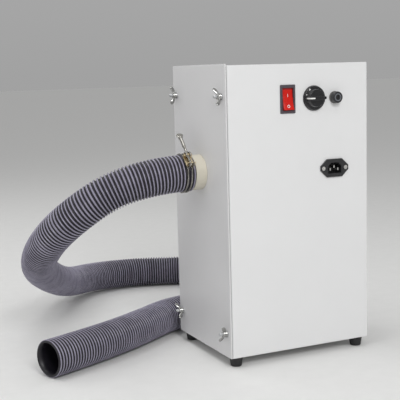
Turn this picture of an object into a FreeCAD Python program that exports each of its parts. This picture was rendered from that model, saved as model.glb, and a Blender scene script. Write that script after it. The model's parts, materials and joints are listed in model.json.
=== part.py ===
"""Bench dust extractor: a sheet steel cabinet with a suction hose on its side cover.

Millimetres. The origin is on the surface the feet stand on, under the middle of the cabinet.
+Z is up, the control panel faces -Y, and the side cover with its hose faces -X.
Each function makes one sub-part, and the list at the end writes one STEP file for each.
"""
import FreeCAD
import Part
import os
from math import acos, cos, pi, radians, sin, tan

Vec = FreeCAD.Vector
X_AXIS = Vec(1, 0, 0)
Y_AXIS = Vec(0, 1, 0)
Z_AXIS = Vec(0, 0, 1)

# ---- driving dimensions: cabinet ----
CAB_W = 248.0            # outside width, side cover included
CAB_D = 190.0            # outside depth
CAB_TOP = 455.0          # top of the lid above the floor
FOOT_H = 15.0
SHEET = 1.2              # steel sheet
CORNER_R = 2.4           # outside bend radius of the wrap
EDGE_R = 1.0             # rounded rim of the lid and the base
COVER_EDGE_R = 0.6       # rounded rim of the side cover
COVER_T = 2.0            # side cover plate
GASKET_T = 1.0           # its foam gasket, squeezed
COVER_LIP = 2.0          # how far the cover stands above the lid
FLANGE_W = 22.0          # frame that the cover closes on
SKIRT_H = 12.0           # down-turned edge of the lid and up-turned edge of the base
DIVIDER_X = -38.0        # left face of the wall between filter and motor

# ---- driving dimensions: cover fixings ----
STUD_R = 2.5
STUD_Y = 82.0
STUD_Z = (52.0, 410.0)
WING_NUTS = (             # name, y, z, turn of its wings from level in degrees
    ("wing_nut_1", -STUD_Y, STUD_Z[1], 62.0),
    ("wing_nut_2", STUD_Y, STUD_Z[1], 90.0),
    ("wing_nut_3", -STUD_Y, STUD_Z[0], 118.0),
    ("wing_nut_4", STUD_Y, STUD_Z[0], 50.0),
)
RUN_GAP = 0.05           # radial clearance of everything that turns

# ---- driving dimensions: hose and its connection ----
HOSE_Z = 292.0           # height of the spigot's axis, on y = 0
HOSE_R = 29.0            # over the ribs
HOSE_BORE_R = 25.0
SPIGOT_BORE_R = 22.0
SPIGOT_RING_R = 27.5
SPIGOT_RING_L = 18.0
SPIGOT_NOSE = 30.0       # how far the spigot reaches into the hose
SPIGOT_STUB = 28.0       # how far it reaches into the bag collar
CLAMP_X = (-150.5, -157.0)   # the two wires of the clamp
CLAMP_WIRE_R = 1.25
CLAMP_TILT = 135.0       # where the clamp closes, in degrees about +X from the +Y side
HOSE_ROUTE = (
    (-142.0, 0.0, HOSE_Z),
    (-246.0, 0.0, HOSE_Z),
    (-352.0, 47.0, 216.0),
    (-369.0, 151.0, 155.0),
    (-287.0, 332.0, 88.0),
    (-235.0, 444.0, 42.0),
    (-146.0, 508.0, 30.0),
    (-41.0, 508.0, HOSE_R),
    (80.0, 456.0, HOSE_R),
    (142.0, 354.0, HOSE_R),
    (124.0, 236.0, HOSE_R),
    (33.0, 159.0, HOSE_R),
    (-110.0, 159.0, HOSE_R),
    (-194.0, 98.0, HOSE_R),
    (-290.0, 42.0, HOSE_R),
    (-380.0, 4.0, HOSE_R),
)

# ---- driving dimensions: controls on the front ----
ROW_Z = 402.5            # height of the switch, knob and fuse row
SWITCH_X = -20.0
SWITCH_W, SWITCH_H = 26.0, 43.0
SWITCH_TILT = 9.0        # the rocker rests pressed in at the top
KNOB_X = 26.0
KNOB_R = 19.5
KNOB_H = 17.0
FUSE_X = 63.0
FUSE_CAP_R = 9.5
INLET_X, INLET_Z = 61.3, 293.7
INLET_SCREW_GAP = 40.0   # hole spacing of the appliance inlet

# ---- driving dimensions: motor ----
MOTOR_Z = 150.0
FAN_R = 72.0
SHAFT_R = 4.0

# ---- worked out ----
LEFT = -CAB_W / 2
RIGHT = CAB_W / 2
FRONT = -CAB_D / 2
BACK = CAB_D / 2
FRAME_X = LEFT + COVER_T + GASKET_T          # outer face of the frame behind the gasket
PLATE_BACK = LEFT + COVER_T                  # inner face of the cover plate
LID_Z = CAB_TOP - SHEET
FLOOR_Z = FOOT_H + SHEET
IN_LEFT = FRAME_X + SHEET
IN_FRONT = FRONT + SHEET
IN_BACK = BACK - SHEET
IN_RIGHT = RIGHT - SHEET
RIVETS = [(RIGHT, y, z) for y in (-70.0, 70.0) for z in (CAB_TOP - 8.0, FOOT_H + 8.0)]
RIVETS_BACK = [(x, BACK, z) for x in (-90.0, 90.0) for z in (CAB_TOP - 8.0, FOOT_H + 8.0)]
GRILLE_SCREWS = [(x, z) for x in (14.0, 106.0) for z in (94.0, 186.0)]


def box(x0, x1, y0, y1, z0, z1):
    """Box between two corners."""
    return Part.makeBox(x1 - x0, y1 - y0, z1 - z0, Vec(x0, y0, z0))


def cyl(axis, a0, a1, r, u, v):
    """Cylinder along one axis from a0 to a1; u, v are its centre on the other two, in X, Y, Z order."""
    if axis == "x":
        return Part.makeCylinder(r, a1 - a0, Vec(a0, u, v), X_AXIS)
    if axis == "y":
        return Part.makeCylinder(r, a1 - a0, Vec(u, a0, v), Y_AXIS)
    return Part.makeCylinder(r, a1 - a0, Vec(u, v, a0), Z_AXIS)


def ring(axis, a0, a1, r_out, r_in, u, v):
    """Round washer or tube along one axis."""
    return cyl(axis, a0, a1, r_out, u, v).cut(cyl(axis, a0 - 1, a1 + 1, r_in, u, v))


def fillet_along(shape, axis, radius):
    """Round every straight edge that runs along the axis."""
    edges = []
    for edge in shape.Edges:
        if edge.Curve.TypeId != "Part::GeomLine":
            continue
        if abs(edge.tangentAt(edge.FirstParameter).dot(axis)) > 0.999:
            edges.append(edge)
    return shape.makeFillet(radius, edges)


def rounded(x0, x1, y0, y1, z0, z1, axis, radius):
    """Box with its four edges along one axis rounded."""
    return fillet_along(box(x0, x1, y0, y1, z0, z1), axis, radius)


def prism(points, direction):
    """Solid that a closed outline sweeps along a direction."""
    wire = Part.makePolygon([Vec(*p) for p in points] + [Vec(*points[0])])
    return Part.Face(wire).extrude(Vec(*direction))


def fuse(shapes):
    """One solid from several that touch or overlap."""
    return shapes[0].multiFuse(shapes[1:]).removeSplitter()


# ------------------------------------------------------------------ cabinet

def front_holes():
    """Cut-outs for the controls, through the front wall."""
    a0, a1 = FRONT - 1, IN_FRONT + 1
    holes = [box(SWITCH_X - 10.8, SWITCH_X + 10.8, a0, a1, ROW_Z - 18.4, ROW_Z + 18.4)]
    holes.append(cyl("y", a0, a1, 3.6, KNOB_X, ROW_Z))
    holes.append(cyl("y", a0, a1, 6.25, FUSE_X, ROW_Z))
    holes.append(box(INLET_X - 13.6, INLET_X + 13.6, a0, a1, INLET_Z - 10.0, INLET_Z + 10.0))
    for side in (-1, 1):
        holes.append(cyl("y", a0, a1, 1.6, INLET_X + side * INLET_SCREW_GAP / 2, INLET_Z))
    return holes


def rivet_holes():
    """Holes of the blind rivets, through the wall and the skirt behind it."""
    holes = [cyl("x", x - 2 * SHEET - 1, x + 1, 1.6, y, z) for x, y, z in RIVETS]
    return holes + [cyl("y", y - 2 * SHEET - 1, y + 1, 1.6, x, z) for x, y, z in RIVETS_BACK]


def stud_holes(radius, x0, x1):
    """Four holes or pins on the axes of the cover studs."""
    return [cyl("x", x0, x1, radius, y, z) for y in (-STUD_Y, STUD_Y) for z in STUD_Z]


def cabinet_wrap():
    """Front, right side and back in one folded sheet, with a narrow flange at each left edge."""
    shell = rounded(FRAME_X, RIGHT, FRONT, BACK, FLOOR_Z, LID_Z, Z_AXIS, CORNER_R)
    inner = rounded(IN_LEFT, IN_RIGHT, IN_FRONT, IN_BACK, FOOT_H, LID_Z + 1, Z_AXIS, CORNER_R - SHEET)
    shell = shell.cut(inner)
    mouth = box(FRAME_X - 1, IN_LEFT + 1, FRONT + FLANGE_W, BACK - FLANGE_W, FOOT_H - 1, LID_Z + 1)
    exhaust = box(18.0, 102.0, IN_BACK - 1, BACK + 1, 98.0, 182.0)
    holes = front_holes() + rivet_holes() + stud_holes(STUD_R, FRAME_X - 1, IN_LEFT + 1)
    holes += [cyl("y", IN_BACK - 1, BACK + 1, 1.6, x, z) for x, z in GRILLE_SCREWS]
    return shell.cut([mouth, exhaust] + holes)


def tray(z_plate, z_skirt, z_flange):
    """Lid or base: a plate, a skirt on three sides, and a deeper flange on the open left side.

    Each pair gives the heights of a piece, and the plate's second height is its outer face.
    """
    z0, z1 = min(z_plate), max(z_plate)
    plate = rounded(FRAME_X, RIGHT, FRONT, BACK, z0, z1, Z_AXIS, CORNER_R)
    s0, s1 = min(z_skirt), max(z_skirt)
    skirt = box(IN_LEFT, IN_RIGHT, IN_FRONT, IN_BACK, s0, s1)
    skirt = fillet_along(skirt, Z_AXIS, CORNER_R - SHEET)
    hollow = box(IN_LEFT - 1, IN_RIGHT - SHEET, IN_FRONT + SHEET, IN_BACK - SHEET, s0 - 1, s1 + 1)
    skirt = skirt.cut(hollow)
    f0, f1 = min(z_flange), max(z_flange)
    flange = box(FRAME_X, IN_LEFT, FRONT + FLANGE_W, BACK - FLANGE_W, f0, f1)
    outside = z_plate[1]
    rim = [e for e in plate.Edges if abs(e.BoundBox.ZMin - outside) < 0.01 and abs(e.BoundBox.ZMax - outside) < 0.01]
    return fuse([plate.makeFillet(EDGE_R, rim), skirt, flange])


def top_panel():
    """Lid, dropped in between the walls."""
    lid = tray((LID_Z, CAB_TOP), (LID_Z - SKIRT_H, LID_Z), (LID_Z - FLANGE_W, LID_Z))
    return lid.cut(rivet_holes())


def foot_places():
    """Name, x and y of each foot."""
    x, y = RIGHT - 15.0, BACK - 14.0
    return (("foot_front_left", -x, -y), ("foot_front_right", x, -y),
            ("foot_back_left", -x, y), ("foot_back_right", x, y))


def base_pan():
    """Base, with a hole for the screw of each foot."""
    pan = tray((FLOOR_Z, FOOT_H), (FLOOR_Z, FLOOR_Z + SKIRT_H), (FLOOR_Z, FLOOR_Z + FLANGE_W))
    screws = [cyl("z", FOOT_H - 1, FLOOR_Z + 1, 2.0, x, y) for _, x, y in foot_places()]
    return pan.cut(rivet_holes() + screws)


def rubber_foot(x, y):
    """Tapered rubber foot with a recess for its screw."""
    cone = Part.makeCone(8.5, 11.0, FOOT_H, Vec(x, y, 0), Z_AXIS)
    rim = cone.makeFillet(0.8, [e for e in cone.Edges if e.Length > 40 and e.CenterOfMass.z < 1])
    return rim.cut([cyl("z", -1, 7.0, 5.0, x, y), cyl("z", 6, FOOT_H + 1, 2.0, x, y)])


def foot_screws():
    """Pan head screw, up through each foot, with its nut inside the base."""
    parts = []
    for _, x, y in foot_places():
        head = cyl("z", 4.6, 7.0, 4.0, x, y)
        head = head.cut(box(x - 3, x + 3, y - 0.5, y + 0.5, 4.0, 5.6))
        shank = cyl("z", 7.0, FLOOR_Z + 5.0, 2.0, x, y)
        nut = hexagon("z", FLOOR_Z, FLOOR_Z + 3.2, 7.0, x, y)
        parts.append(fuse([head, shank, nut]))
    return Part.makeCompound(parts)


def hexagon(axis, a0, a1, flats, u, v):
    """Hexagon along an axis, measured across its flats."""
    r = flats / 2 / cos(radians(30))
    ring_points = [(u + r * cos(radians(60 * i)), v + r * sin(radians(60 * i))) for i in range(6)]
    if axis == "x":
        return prism([(a0, p, q) for p, q in ring_points], (a1 - a0, 0, 0))
    if axis == "y":
        return prism([(p, a0, q) for p, q in ring_points], (0, a1 - a0, 0))
    return prism([(p, q, a0) for p, q in ring_points], (0, 0, a1 - a0))


def chamber_divider():
    """Wall between the filter chamber and the motor chamber, with the motor's intake hole."""
    y0, y1 = IN_FRONT + SHEET, IN_BACK - SHEET
    plate = box(DIVIDER_X, DIVIDER_X + SHEET, y0, y1, FLOOR_Z, LID_Z)
    z0, z1 = FLOOR_Z + SKIRT_H, LID_Z - SKIRT_H
    legs = [box(DIVIDER_X + SHEET, DIVIDER_X + 6.0, y0, y0 + SHEET, z0, z1)]
    legs.append(box(DIVIDER_X + SHEET, DIVIDER_X + 6.0, y1 - SHEET, y1, z0, z1))
    wall = fuse([plate] + legs)
    holes = [cyl("x", DIVIDER_X - 1, DIVIDER_X + SHEET + 1, 30.0, 0, MOTOR_Z)]
    holes += [cyl("x", DIVIDER_X - 1, DIVIDER_X + SHEET + 1, 2.0, y, z) for y, z in motor_screw_places()]
    return wall.cut(holes)


def cabinet_fixings():
    """Blind rivets, with a domed head outside and a shank through wall and skirt, and grille screws."""
    parts = []
    for x, y, z in RIVETS:
        head = Part.makeSphere(4.6, Vec(x - 3.4, y, z)).common(cyl("x", x, x + 3, 3.2, y, z))
        parts.append(fuse([head, cyl("x", x - 2 * SHEET - 1.5, x + 0.5, 1.6, y, z)]))
    for x, y, z in RIVETS_BACK:
        head = Part.makeSphere(4.6, Vec(x, y - 3.4, z)).common(cyl("y", y, y + 3, 3.2, x, z))
        parts.append(fuse([head, cyl("y", y - 2 * SHEET - 1.5, y + 0.5, 1.6, x, z)]))
    for x, z in GRILLE_SCREWS:
        head = cyl("y", BACK + 2.0, BACK + 3.8, 3.0, x, z)
        head = head.cut(box(x - 2.2, x + 2.2, BACK + 3.0, BACK + 5, z - 0.4, z + 0.4))
        parts.append(fuse([head, cyl("y", IN_BACK - 4.0, BACK + 2.0, 1.6, x, z)]))
    return Part.makeCompound(parts)


def earth_stud():
    """Earth screw on the base, with its nut, washer and ring terminal."""
    x, y = 92.0, -50.0
    shank = cyl("z", FLOOR_Z, FLOOR_Z + 14.0, 2.0, x, y)
    washer = cyl("z", FLOOR_Z, FLOOR_Z + 1.0, 4.5, x, y)
    tag = cyl("z", FLOOR_Z + 1.0, FLOOR_Z + 1.8, 4.2, x, y)
    tongue = box(x - 14.0, x, y - 1.8, y + 1.8, FLOOR_Z + 1.0, FLOOR_Z + 1.8)
    nut = hexagon("z", FLOOR_Z + 1.8, FLOOR_Z + 5.0, 7.0, x, y)
    return fuse([shank, washer, tag, tongue, nut])


# --------------------------------------------------------------- side cover

def side_cover():
    """Plain plate over the left side, with the hole of the spigot."""
    plate = rounded(LEFT, PLATE_BACK, FRONT, BACK, FOOT_H, CAB_TOP + COVER_LIP, X_AXIS, 1.5)
    plate = plate.makeFillet(COVER_EDGE_R, [e for e in plate.Edges if e.BoundBox.XMax < LEFT + 0.01])
    holes = stud_holes(3.0, LEFT - 1, PLATE_BACK + 1)
    holes.append(cyl("x", LEFT - 1, PLATE_BACK + 1, HOSE_BORE_R, 0, HOSE_Z))
    return plate.cut(holes)


def cover_gasket():
    """Flat foam frame, stuck to the inside of the cover."""
    edge = 1.5
    outer = box(PLATE_BACK, FRAME_X, FRONT + edge, BACK - edge, FOOT_H + edge, CAB_TOP - edge)
    inner = box(PLATE_BACK - 1, FRAME_X + 1, FRONT + FLANGE_W, BACK - FLANGE_W,
                FOOT_H + FLANGE_W, CAB_TOP - FLANGE_W)
    return outer.cut([inner] + stud_holes(3.0, PLATE_BACK - 1, FRAME_X + 1))


def cover_studs():
    """Threaded studs, welded to the flanges behind the cover."""
    parts = []
    for y in (-STUD_Y, STUD_Y):
        for z in STUD_Z:
            head = cyl("x", IN_LEFT, IN_LEFT + 1.6, 4.5, y, z)
            shank = cyl("x", LEFT - 12.5, IN_LEFT, STUD_R, y, z)
            tip = Part.makeCone(STUD_R - 0.5, STUD_R, 0.8, Vec(LEFT - 13.3, y, z), X_AXIS)
            parts.append(fuse([head, shank, tip]))
    return Part.makeCompound(parts)


def cover_washers():
    """Plain washer under each wing nut."""
    x1 = LEFT
    return Part.makeCompound([ring("x", x1 - 1.0, x1, 5.5, 2.8, y, z) for _, y, z, _ in WING_NUTS])


def wing_nut(y, z, turn):
    """Wing nut: a tapered hub with two raised wings."""
    x0 = LEFT - 1.0
    hub = Part.makeCone(5.2, 4.1, 7.0, Vec(x0, y, z), Vec(-1, 0, 0))
    wings = []
    for side in (-1, 1):
        outline = [(2.8, 1.2), (6.0, 1.8), (10.2, 5.0), (12.2, 8.6), (11.6, 11.2), (9.2, 12.0),
                   (6.8, 10.4), (5.2, 7.2), (2.8, 6.4)]
        points = [(x0 - h, y + side * r, z - 1.1) for r, h in outline]
        wing = prism(points, (0, 0, 2.2))
        wings.append(fillet_along(wing, Z_AXIS, 0.5))
    nut = fuse([hub] + wings)
    nut = nut.cut(cyl("x", x0 - 14, x0 + 1, STUD_R + RUN_GAP, y, z))
    nut.rotate(Vec(x0, y, z), X_AXIS, turn)
    return nut


# --------------------------------------------------------- hose connection

def inlet_spigot():
    """Pipe stub through the cover, with a flange on the inside."""
    start = LEFT - SPIGOT_RING_L - SPIGOT_NOSE
    flange_x = PLATE_BACK + 1.5
    pipe = cyl("x", start, flange_x + 3.0 + SPIGOT_STUB, HOSE_BORE_R, 0, HOSE_Z)
    flange = cyl("x", flange_x, flange_x + 3.0, 33.0, 0, HOSE_Z)
    nose = [e for e in pipe.Edges if abs(e.CenterOfMass.x - start) < 0.1 and e.Length > 100]
    pipe = pipe.makeChamfer(1.0, nose)
    bore = cyl("x", start - 1, flange_x + SPIGOT_STUB + 5, SPIGOT_BORE_R, 0, HOSE_Z)
    return fuse([pipe, flange]).cut(bore)


def spigot_ring():
    """Lock ring outside the cover: the part of the connection that shows."""
    body = ring("x", LEFT - SPIGOT_RING_L, LEFT, SPIGOT_RING_R, HOSE_BORE_R, 0, HOSE_Z)
    outer = [e for e in body.Edges if abs(e.Length - 2 * pi * SPIGOT_RING_R) < 0.1]
    return body.makeFillet(0.6, outer)


def spigot_gasket():
    """Seal between the spigot's flange and the cover."""
    return ring("x", PLATE_BACK, PLATE_BACK + 1.5, 32.0, HOSE_BORE_R, 0, HOSE_Z)


def route_wire(points):
    """Straight runs joined by arcs that take 0.45 of the shorter run at each point."""
    points = [Vec(*p) for p in points]
    edges = []
    radii = []
    start = points[0]
    for before, here, after in zip(points, points[1:], points[2:]):
        to_here = (here - before).normalize()
        away = (after - here).normalize()
        turn = acos(max(-1.0, min(1.0, to_here.dot(away))))
        cut_back = 0.45 * min((here - before).Length, (after - here).Length)
        radius = cut_back / tan(turn / 2)
        enter = here - to_here * cut_back
        leave = here + away * cut_back
        inward = (away - to_here).normalize()
        middle = here + inward * (radius / cos(turn / 2) - radius)
        edges.append(Part.LineSegment(start, enter).toShape())
        edges.append(Part.Arc(enter, middle, leave).toShape())
        radii.append(radius)
        start = leave
    edges.append(Part.LineSegment(start, points[-1]).toShape())
    return Part.Wire(edges), radii


def hose():
    """Corrugated hose as a plain tube along its route."""
    path, radii = route_wire(HOSE_ROUTE)
    start = Vec(*HOSE_ROUTE[0])
    direction = (Vec(*HOSE_ROUTE[1]) - start).normalize()
    tubes = []
    for radius in (HOSE_R, HOSE_BORE_R):
        section = Part.Wire(Part.Circle(start, direction, radius).toShape())
        tubes.append(Part.Wire(path.Edges).makePipeShell([section], True, False))
    tube = tubes[0].cut(tubes[1])
    expected = pi * (HOSE_R ** 2 - HOSE_BORE_R ** 2) * path.Length
    print("hose length %.0f mm, volume / (section x length) %.4f" % (path.Length, tube.Volume / expected))
    print("hose bend radii", [round(r) for r in radii])
    return tube


def clamp_frame():
    """Unit vectors of the clamp's closure: outward from the hose, and along its screw."""
    angle = radians(CLAMP_TILT)
    outward = Vec(0, cos(angle), sin(angle))
    along = Vec(0, sin(angle), -cos(angle))
    return outward, along


def clamp_point(radial, s, x):
    """A point at a radial distance from the hose's axis, s along the screw."""
    outward, along = clamp_frame()
    return Vec(x, 0, HOSE_Z) + outward * radial + along * s


CLAMP_SCREW_RADIAL = HOSE_R + 7.0
CLAMP_MID_X = (CLAMP_X[0] + CLAMP_X[1]) / 2


def clamp_box(x0, x1, r0, r1, s0, s1):
    """Box in the clamp's own directions: x, outward and along the screw."""
    base = Part.makePolygon([clamp_point(r0, s0, x0), clamp_point(r1, s0, x0), clamp_point(r1, s1, x0),
                             clamp_point(r0, s1, x0), clamp_point(r0, s0, x0)])
    return Part.Face(base).extrude(Vec(x1 - x0, 0, 0))


def clamp_wires():
    """Two wire loops round the hose."""
    loops = []
    for x in CLAMP_X:
        loops.append(Part.makeTorus(HOSE_R + CLAMP_WIRE_R, CLAMP_WIRE_R, Vec(x, 0, HOSE_Z), X_AXIS))
    return Part.makeCompound(loops)


def clamp_saddle():
    """Formed strip under the screw, with the upright lug that the screw's end bears on."""
    x0, x1 = CLAMP_X[1] - 3.2, CLAMP_X[0] + 3.2
    r0 = HOSE_R + 2 * CLAMP_WIRE_R
    floor = clamp_box(x0, x1, r0, r0 + 1.2, -13.0, 9.0)
    lug = clamp_box(x0, x1, r0, r0 + 8.6, -13.0, -11.6)
    saddle = fuse([floor, lug])
    return saddle.cut(screw_solid(2.2, -14.0, -11.0))


def screw_solid(radius, s0, s1):
    """Cylinder on the screw's axis."""
    _, along = clamp_frame()
    return Part.makeCylinder(radius, s1 - s0, clamp_point(CLAMP_SCREW_RADIAL, s0, CLAMP_MID_X), along)


def clamp_nut():
    """Trunnion nut: a cross bar that the screw runs through, over the two wires."""
    origin = clamp_point(CLAMP_SCREW_RADIAL, 6.0, CLAMP_X[1] - 3.0)
    bar = Part.makeCylinder(2.7, CLAMP_X[0] - CLAMP_X[1] + 6.0, origin, X_AXIS)
    return bar.cut(screw_solid(2.0 + RUN_GAP, 0.0, 12.0))


def clamp_screw():
    """Long thumb screw with a flat tee head."""
    shank = screw_solid(2.0, -14.5, 42.0)
    collar = screw_solid(3.2, 40.0, 42.0)
    stop = screw_solid(2.9, -11.4, -10.2)
    r0, r1 = CLAMP_SCREW_RADIAL - 1.4, CLAMP_SCREW_RADIAL + 1.4
    head = clamp_box(CLAMP_MID_X - 5.5, CLAMP_MID_X + 5.5, r0, r1, 42.0, 50.0)
    head = head.makeFillet(2.0, [e for e in head.Edges if abs(e.Length - 2.8) < 0.01])
    return fuse([shank, collar, stop, head])


# ------------------------------------------------------- air path in the filter chamber

COLLAR_X = (-108.0, -104.0)
COLLAR_HALF = 45.0
BAG_X = (-102.2, -46.6)
BAG_NECK_R = 30.0


def bag_collar():
    """Stiff plate with a neck: it holds the bag and seals on the spigot."""
    x0, x1 = COLLAR_X
    plate = rounded(x0, x1, -COLLAR_HALF, COLLAR_HALF, HOSE_Z - COLLAR_HALF, HOSE_Z + COLLAR_HALF, X_AXIS, 6.0)
    neck = cyl("x", x1, x1 + 9.0, BAG_NECK_R, 0, HOSE_Z)
    return fuse([plate, neck]).cut(cyl("x", x0 - 1, x1 + 10, HOSE_BORE_R + 0.3, 0, HOSE_Z))


def bag_bracket():
    """Two upright channels that the collar slides down into, each strapped to a wall."""
    x0, x1 = COLLAR_X
    gap = 0.3
    parts = []
    for side in (-1, 1):
        def span(a, b):
            return (min(side * a, side * b), max(side * a, side * b))
        y_out = span(COLLAR_HALF - 5.0, COLLAR_HALF + gap + SHEET)
        y_slot = span(COLLAR_HALF - 6.0, COLLAR_HALF + gap)
        z0, z1 = HOSE_Z - COLLAR_HALF - 2.0, HOSE_Z + COLLAR_HALF - 3.0
        outer = box(x0 - gap - SHEET, x1 + gap + SHEET, y_out[0], y_out[1], z0, z1)
        slot = box(x0 - gap, x1 + gap, y_slot[0], y_slot[1], z0 + SHEET, z1 + 1)
        y_strap = span(COLLAR_HALF + gap + SHEET, IN_BACK)
        strap = box(x0 - gap - SHEET, x0 - gap, y_strap[0], y_strap[1], HOSE_Z - 20.0, HOSE_Z + 20.0)
        y_tab = span(IN_BACK - SHEET, IN_BACK)
        tab = box(x0 - gap, x0 + 12.0, y_tab[0], y_tab[1], HOSE_Z - 20.0, HOSE_Z + 20.0)
        parts.append(fuse([outer.cut(slot), strap, tab]))
    return Part.makeCompound(parts)


def filter_bag():
    """Padded bag, hung on the collar's neck."""
    x0, x1 = BAG_X
    body = box(x0, x1, -62.0, 62.0, 60.0, 372.0)
    body = body.makeFillet(12.0, body.Edges)
    return body.cut(cyl("x", x0 - 1, x0 + 34.0, BAG_NECK_R, 0, HOSE_Z))


def motor_filter():
    """Foam pad over the motor's intake."""
    return box(DIVIDER_X - 6.4, DIVIDER_X, -55.0, 55.0, MOTOR_Z - 55.0, MOTOR_Z + 55.0)


def filter_frame():
    """Shallow frame that clips over the foam pad."""
    x0 = DIVIDER_X - 7.6
    outer = rounded(x0, DIVIDER_X, -57.0, 57.0, MOTOR_Z - 57.0, MOTOR_Z + 57.0, X_AXIS, 4.0)
    pocket = box(x0 + 1.2, DIVIDER_X + 1, -55.0, 55.0, MOTOR_Z - 55.0, MOTOR_Z + 55.0)
    windows = []
    for y0 in (-46.0, -14.0, 18.0):
        for z0 in (-46.0, -14.0, 18.0):
            windows.append(box(x0 - 1, x0 + 2, y0, y0 + 28.0, MOTOR_Z + z0, MOTOR_Z + z0 + 28.0))
    return outer.cut([pocket] + windows)


def exhaust_grille():
    """Slotted grille over the exhaust opening on the back."""
    plate = rounded(10.0, 110.0, BACK, BACK + 2.0, 90.0, 190.0, Y_AXIS, 5.0)
    slots = []
    for i in range(9):
        z = 103.0 + 8.2 * i
        slots.append(box(22.0, 98.0, BACK - 1, BACK + 3, z, z + 4.6))
    screws = [cyl("y", BACK - 1, BACK + 3, 1.6, x, z) for x, z in GRILLE_SCREWS]
    return plate.cut(slots + screws)


def exhaust_foam():
    """Foam pad behind the grille."""
    return box(16.0, 104.0, IN_BACK - 6.0, IN_BACK, 96.0, 184.0)


# -------------------------------------------------------------------- motor

FAN_X0 = DIVIDER_X + SHEET + 4.0     # left face of the fan housing, behind the rubber ring
FAN_X1 = FAN_X0 + 28.0
REAR_X = 78.0                        # rear bridge of the motor frame


def motor_screw_places():
    """y and z of the three motor clamp screws."""
    return [(78.0 * cos(radians(a)), MOTOR_Z + 78.0 * sin(radians(a))) for a in (90, 210, 330)]


def motor_gasket():
    """Rubber ring between the fan housing and the divider."""
    return ring("x", DIVIDER_X + SHEET, FAN_X0, 56.0, 36.0, 0, MOTOR_Z)


def fan_housing():
    """Pressed can round the impeller, with outlet slots in its wall."""
    can = cyl("x", FAN_X0, FAN_X1, FAN_R, 0, MOTOR_Z)
    can = can.makeFillet(3.0, [e for e in can.Edges if abs(e.CenterOfMass.x - FAN_X0) < 0.1 and e.Length > 100])
    can = can.cut(cyl("x", FAN_X0 + 1.0, FAN_X1 + 1, FAN_R - 1.0, 0, MOTOR_Z))
    cuts = [cyl("x", FAN_X0 - 1, FAN_X0 + 2, 22.0, 0, MOTOR_Z)]
    for i in range(10):
        slot = box(FAN_X0 + 8.0, FAN_X0 + 20.0, FAN_R - 6.0, FAN_R + 4.0, MOTOR_Z - 11.0, MOTOR_Z + 11.0)
        slot.rotate(Vec(0, 0, MOTOR_Z), X_AXIS, 36.0 * i + 12.0)
        cuts.append(slot)
    return can.cut(cuts)


def fan_impeller():
    """Two discs with eight curved vanes between them, on a hub."""
    back_x = FAN_X1 - 7.0
    eye_x = FAN_X0 + 5.0
    back_disc = cyl("x", back_x, back_x + 1.2, 64.0, 0, MOTOR_Z)
    eye_disc = ring("x", eye_x, eye_x + 1.2, 64.0, 24.0, 0, MOTOR_Z)
    hub = cyl("x", eye_x + 1.2, back_x, 10.0, 0, MOTOR_Z)
    vanes = []
    for i in range(8):
        outer = ring("x", eye_x + 1.2, back_x, 46.0, 45.0, 30.0, MOTOR_Z + 14.0)
        keep = ring("x", eye_x + 1.2, back_x, 63.0, 25.0, 0, MOTOR_Z)
        half = box(eye_x, back_x + 1, -70.0, 70.0, MOTOR_Z - 70.0, MOTOR_Z - 8.0)
        vane = outer.common(keep).common(half)
        pieces = sorted(vane.Solids, key=lambda s: -s.Volume)
        vane = pieces[0]
        vane.rotate(Vec(0, 0, MOTOR_Z), X_AXIS, 45.0 * i)
        vanes.append(vane)
    wheel = fuse([back_disc, eye_disc, hub] + vanes)
    return wheel.cut(cyl("x", eye_x - 5, back_x + 5, SHAFT_R, 0, MOTOR_Z))


def motor_shaft():
    """Shaft with the nut that holds the impeller."""
    x0 = FAN_X0 + 2.0
    shaft = cyl("x", x0, REAR_X - 0.5, SHAFT_R, 0, MOTOR_Z)
    nut = hexagon("x", x0 + 0.6, FAN_X0 + 6.2, 12.0, 0, MOTOR_Z)
    return fuse([shaft, nut])


def motor_frame():
    """Front disc with a bearing boss, two side bars, and the rear bridge with its boss."""
    x1 = FAN_X1 + 1.5
    disc = cyl("x", FAN_X1, x1, FAN_R, 0, MOTOR_Z)
    boss = cyl("x", x1, x1 + 8.0, 14.0, 0, MOTOR_Z)
    bars = [box(x1, REAR_X + 4.0, 44.0, 50.0, MOTOR_Z - 10.0, MOTOR_Z + 10.0)]
    bars.append(box(x1, REAR_X + 4.0, -50.0, -44.0, MOTOR_Z - 10.0, MOTOR_Z + 10.0))
    bridge = box(REAR_X, REAR_X + 4.0, -50.0, 50.0, MOTOR_Z - 10.0, MOTOR_Z + 10.0)
    rear_boss = cyl("x", REAR_X - 8.0, REAR_X + 4.0, 14.0, 0, MOTOR_Z)
    frame = fuse([disc, boss, bridge, rear_boss] + bars)
    seats = [cyl("x", x1 + 1.0, x1 + 9.0, 11.0, 0, MOTOR_Z), cyl("x", FAN_X1 - 1, x1 + 2, 6.0, 0, MOTOR_Z)]
    seats.append(cyl("x", REAR_X - 9.0, REAR_X, 11.0, 0, MOTOR_Z))
    vents = []
    for i in range(8):
        angle = radians(45.0 * i + 22.5)
        vents.append(cyl("x", FAN_X1 - 1, x1 + 1, 7.0, 52.0 * cos(angle), MOTOR_Z + 52.0 * sin(angle)))
    return frame.cut(seats + vents)


def motor_bearings():
    """Two ball bearings, as plain rings."""
    x1 = FAN_X1 + 1.5
    front = ring("x", x1 + 1.0, x1 + 8.0, 11.0, SHAFT_R + RUN_GAP, 0, MOTOR_Z)
    rear = ring("x", REAR_X - 8.0, REAR_X - 1.0, 11.0, SHAFT_R + RUN_GAP, 0, MOTOR_Z)
    return Part.makeCompound([front, rear])


STACK_X = (16.0, 46.0)


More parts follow.
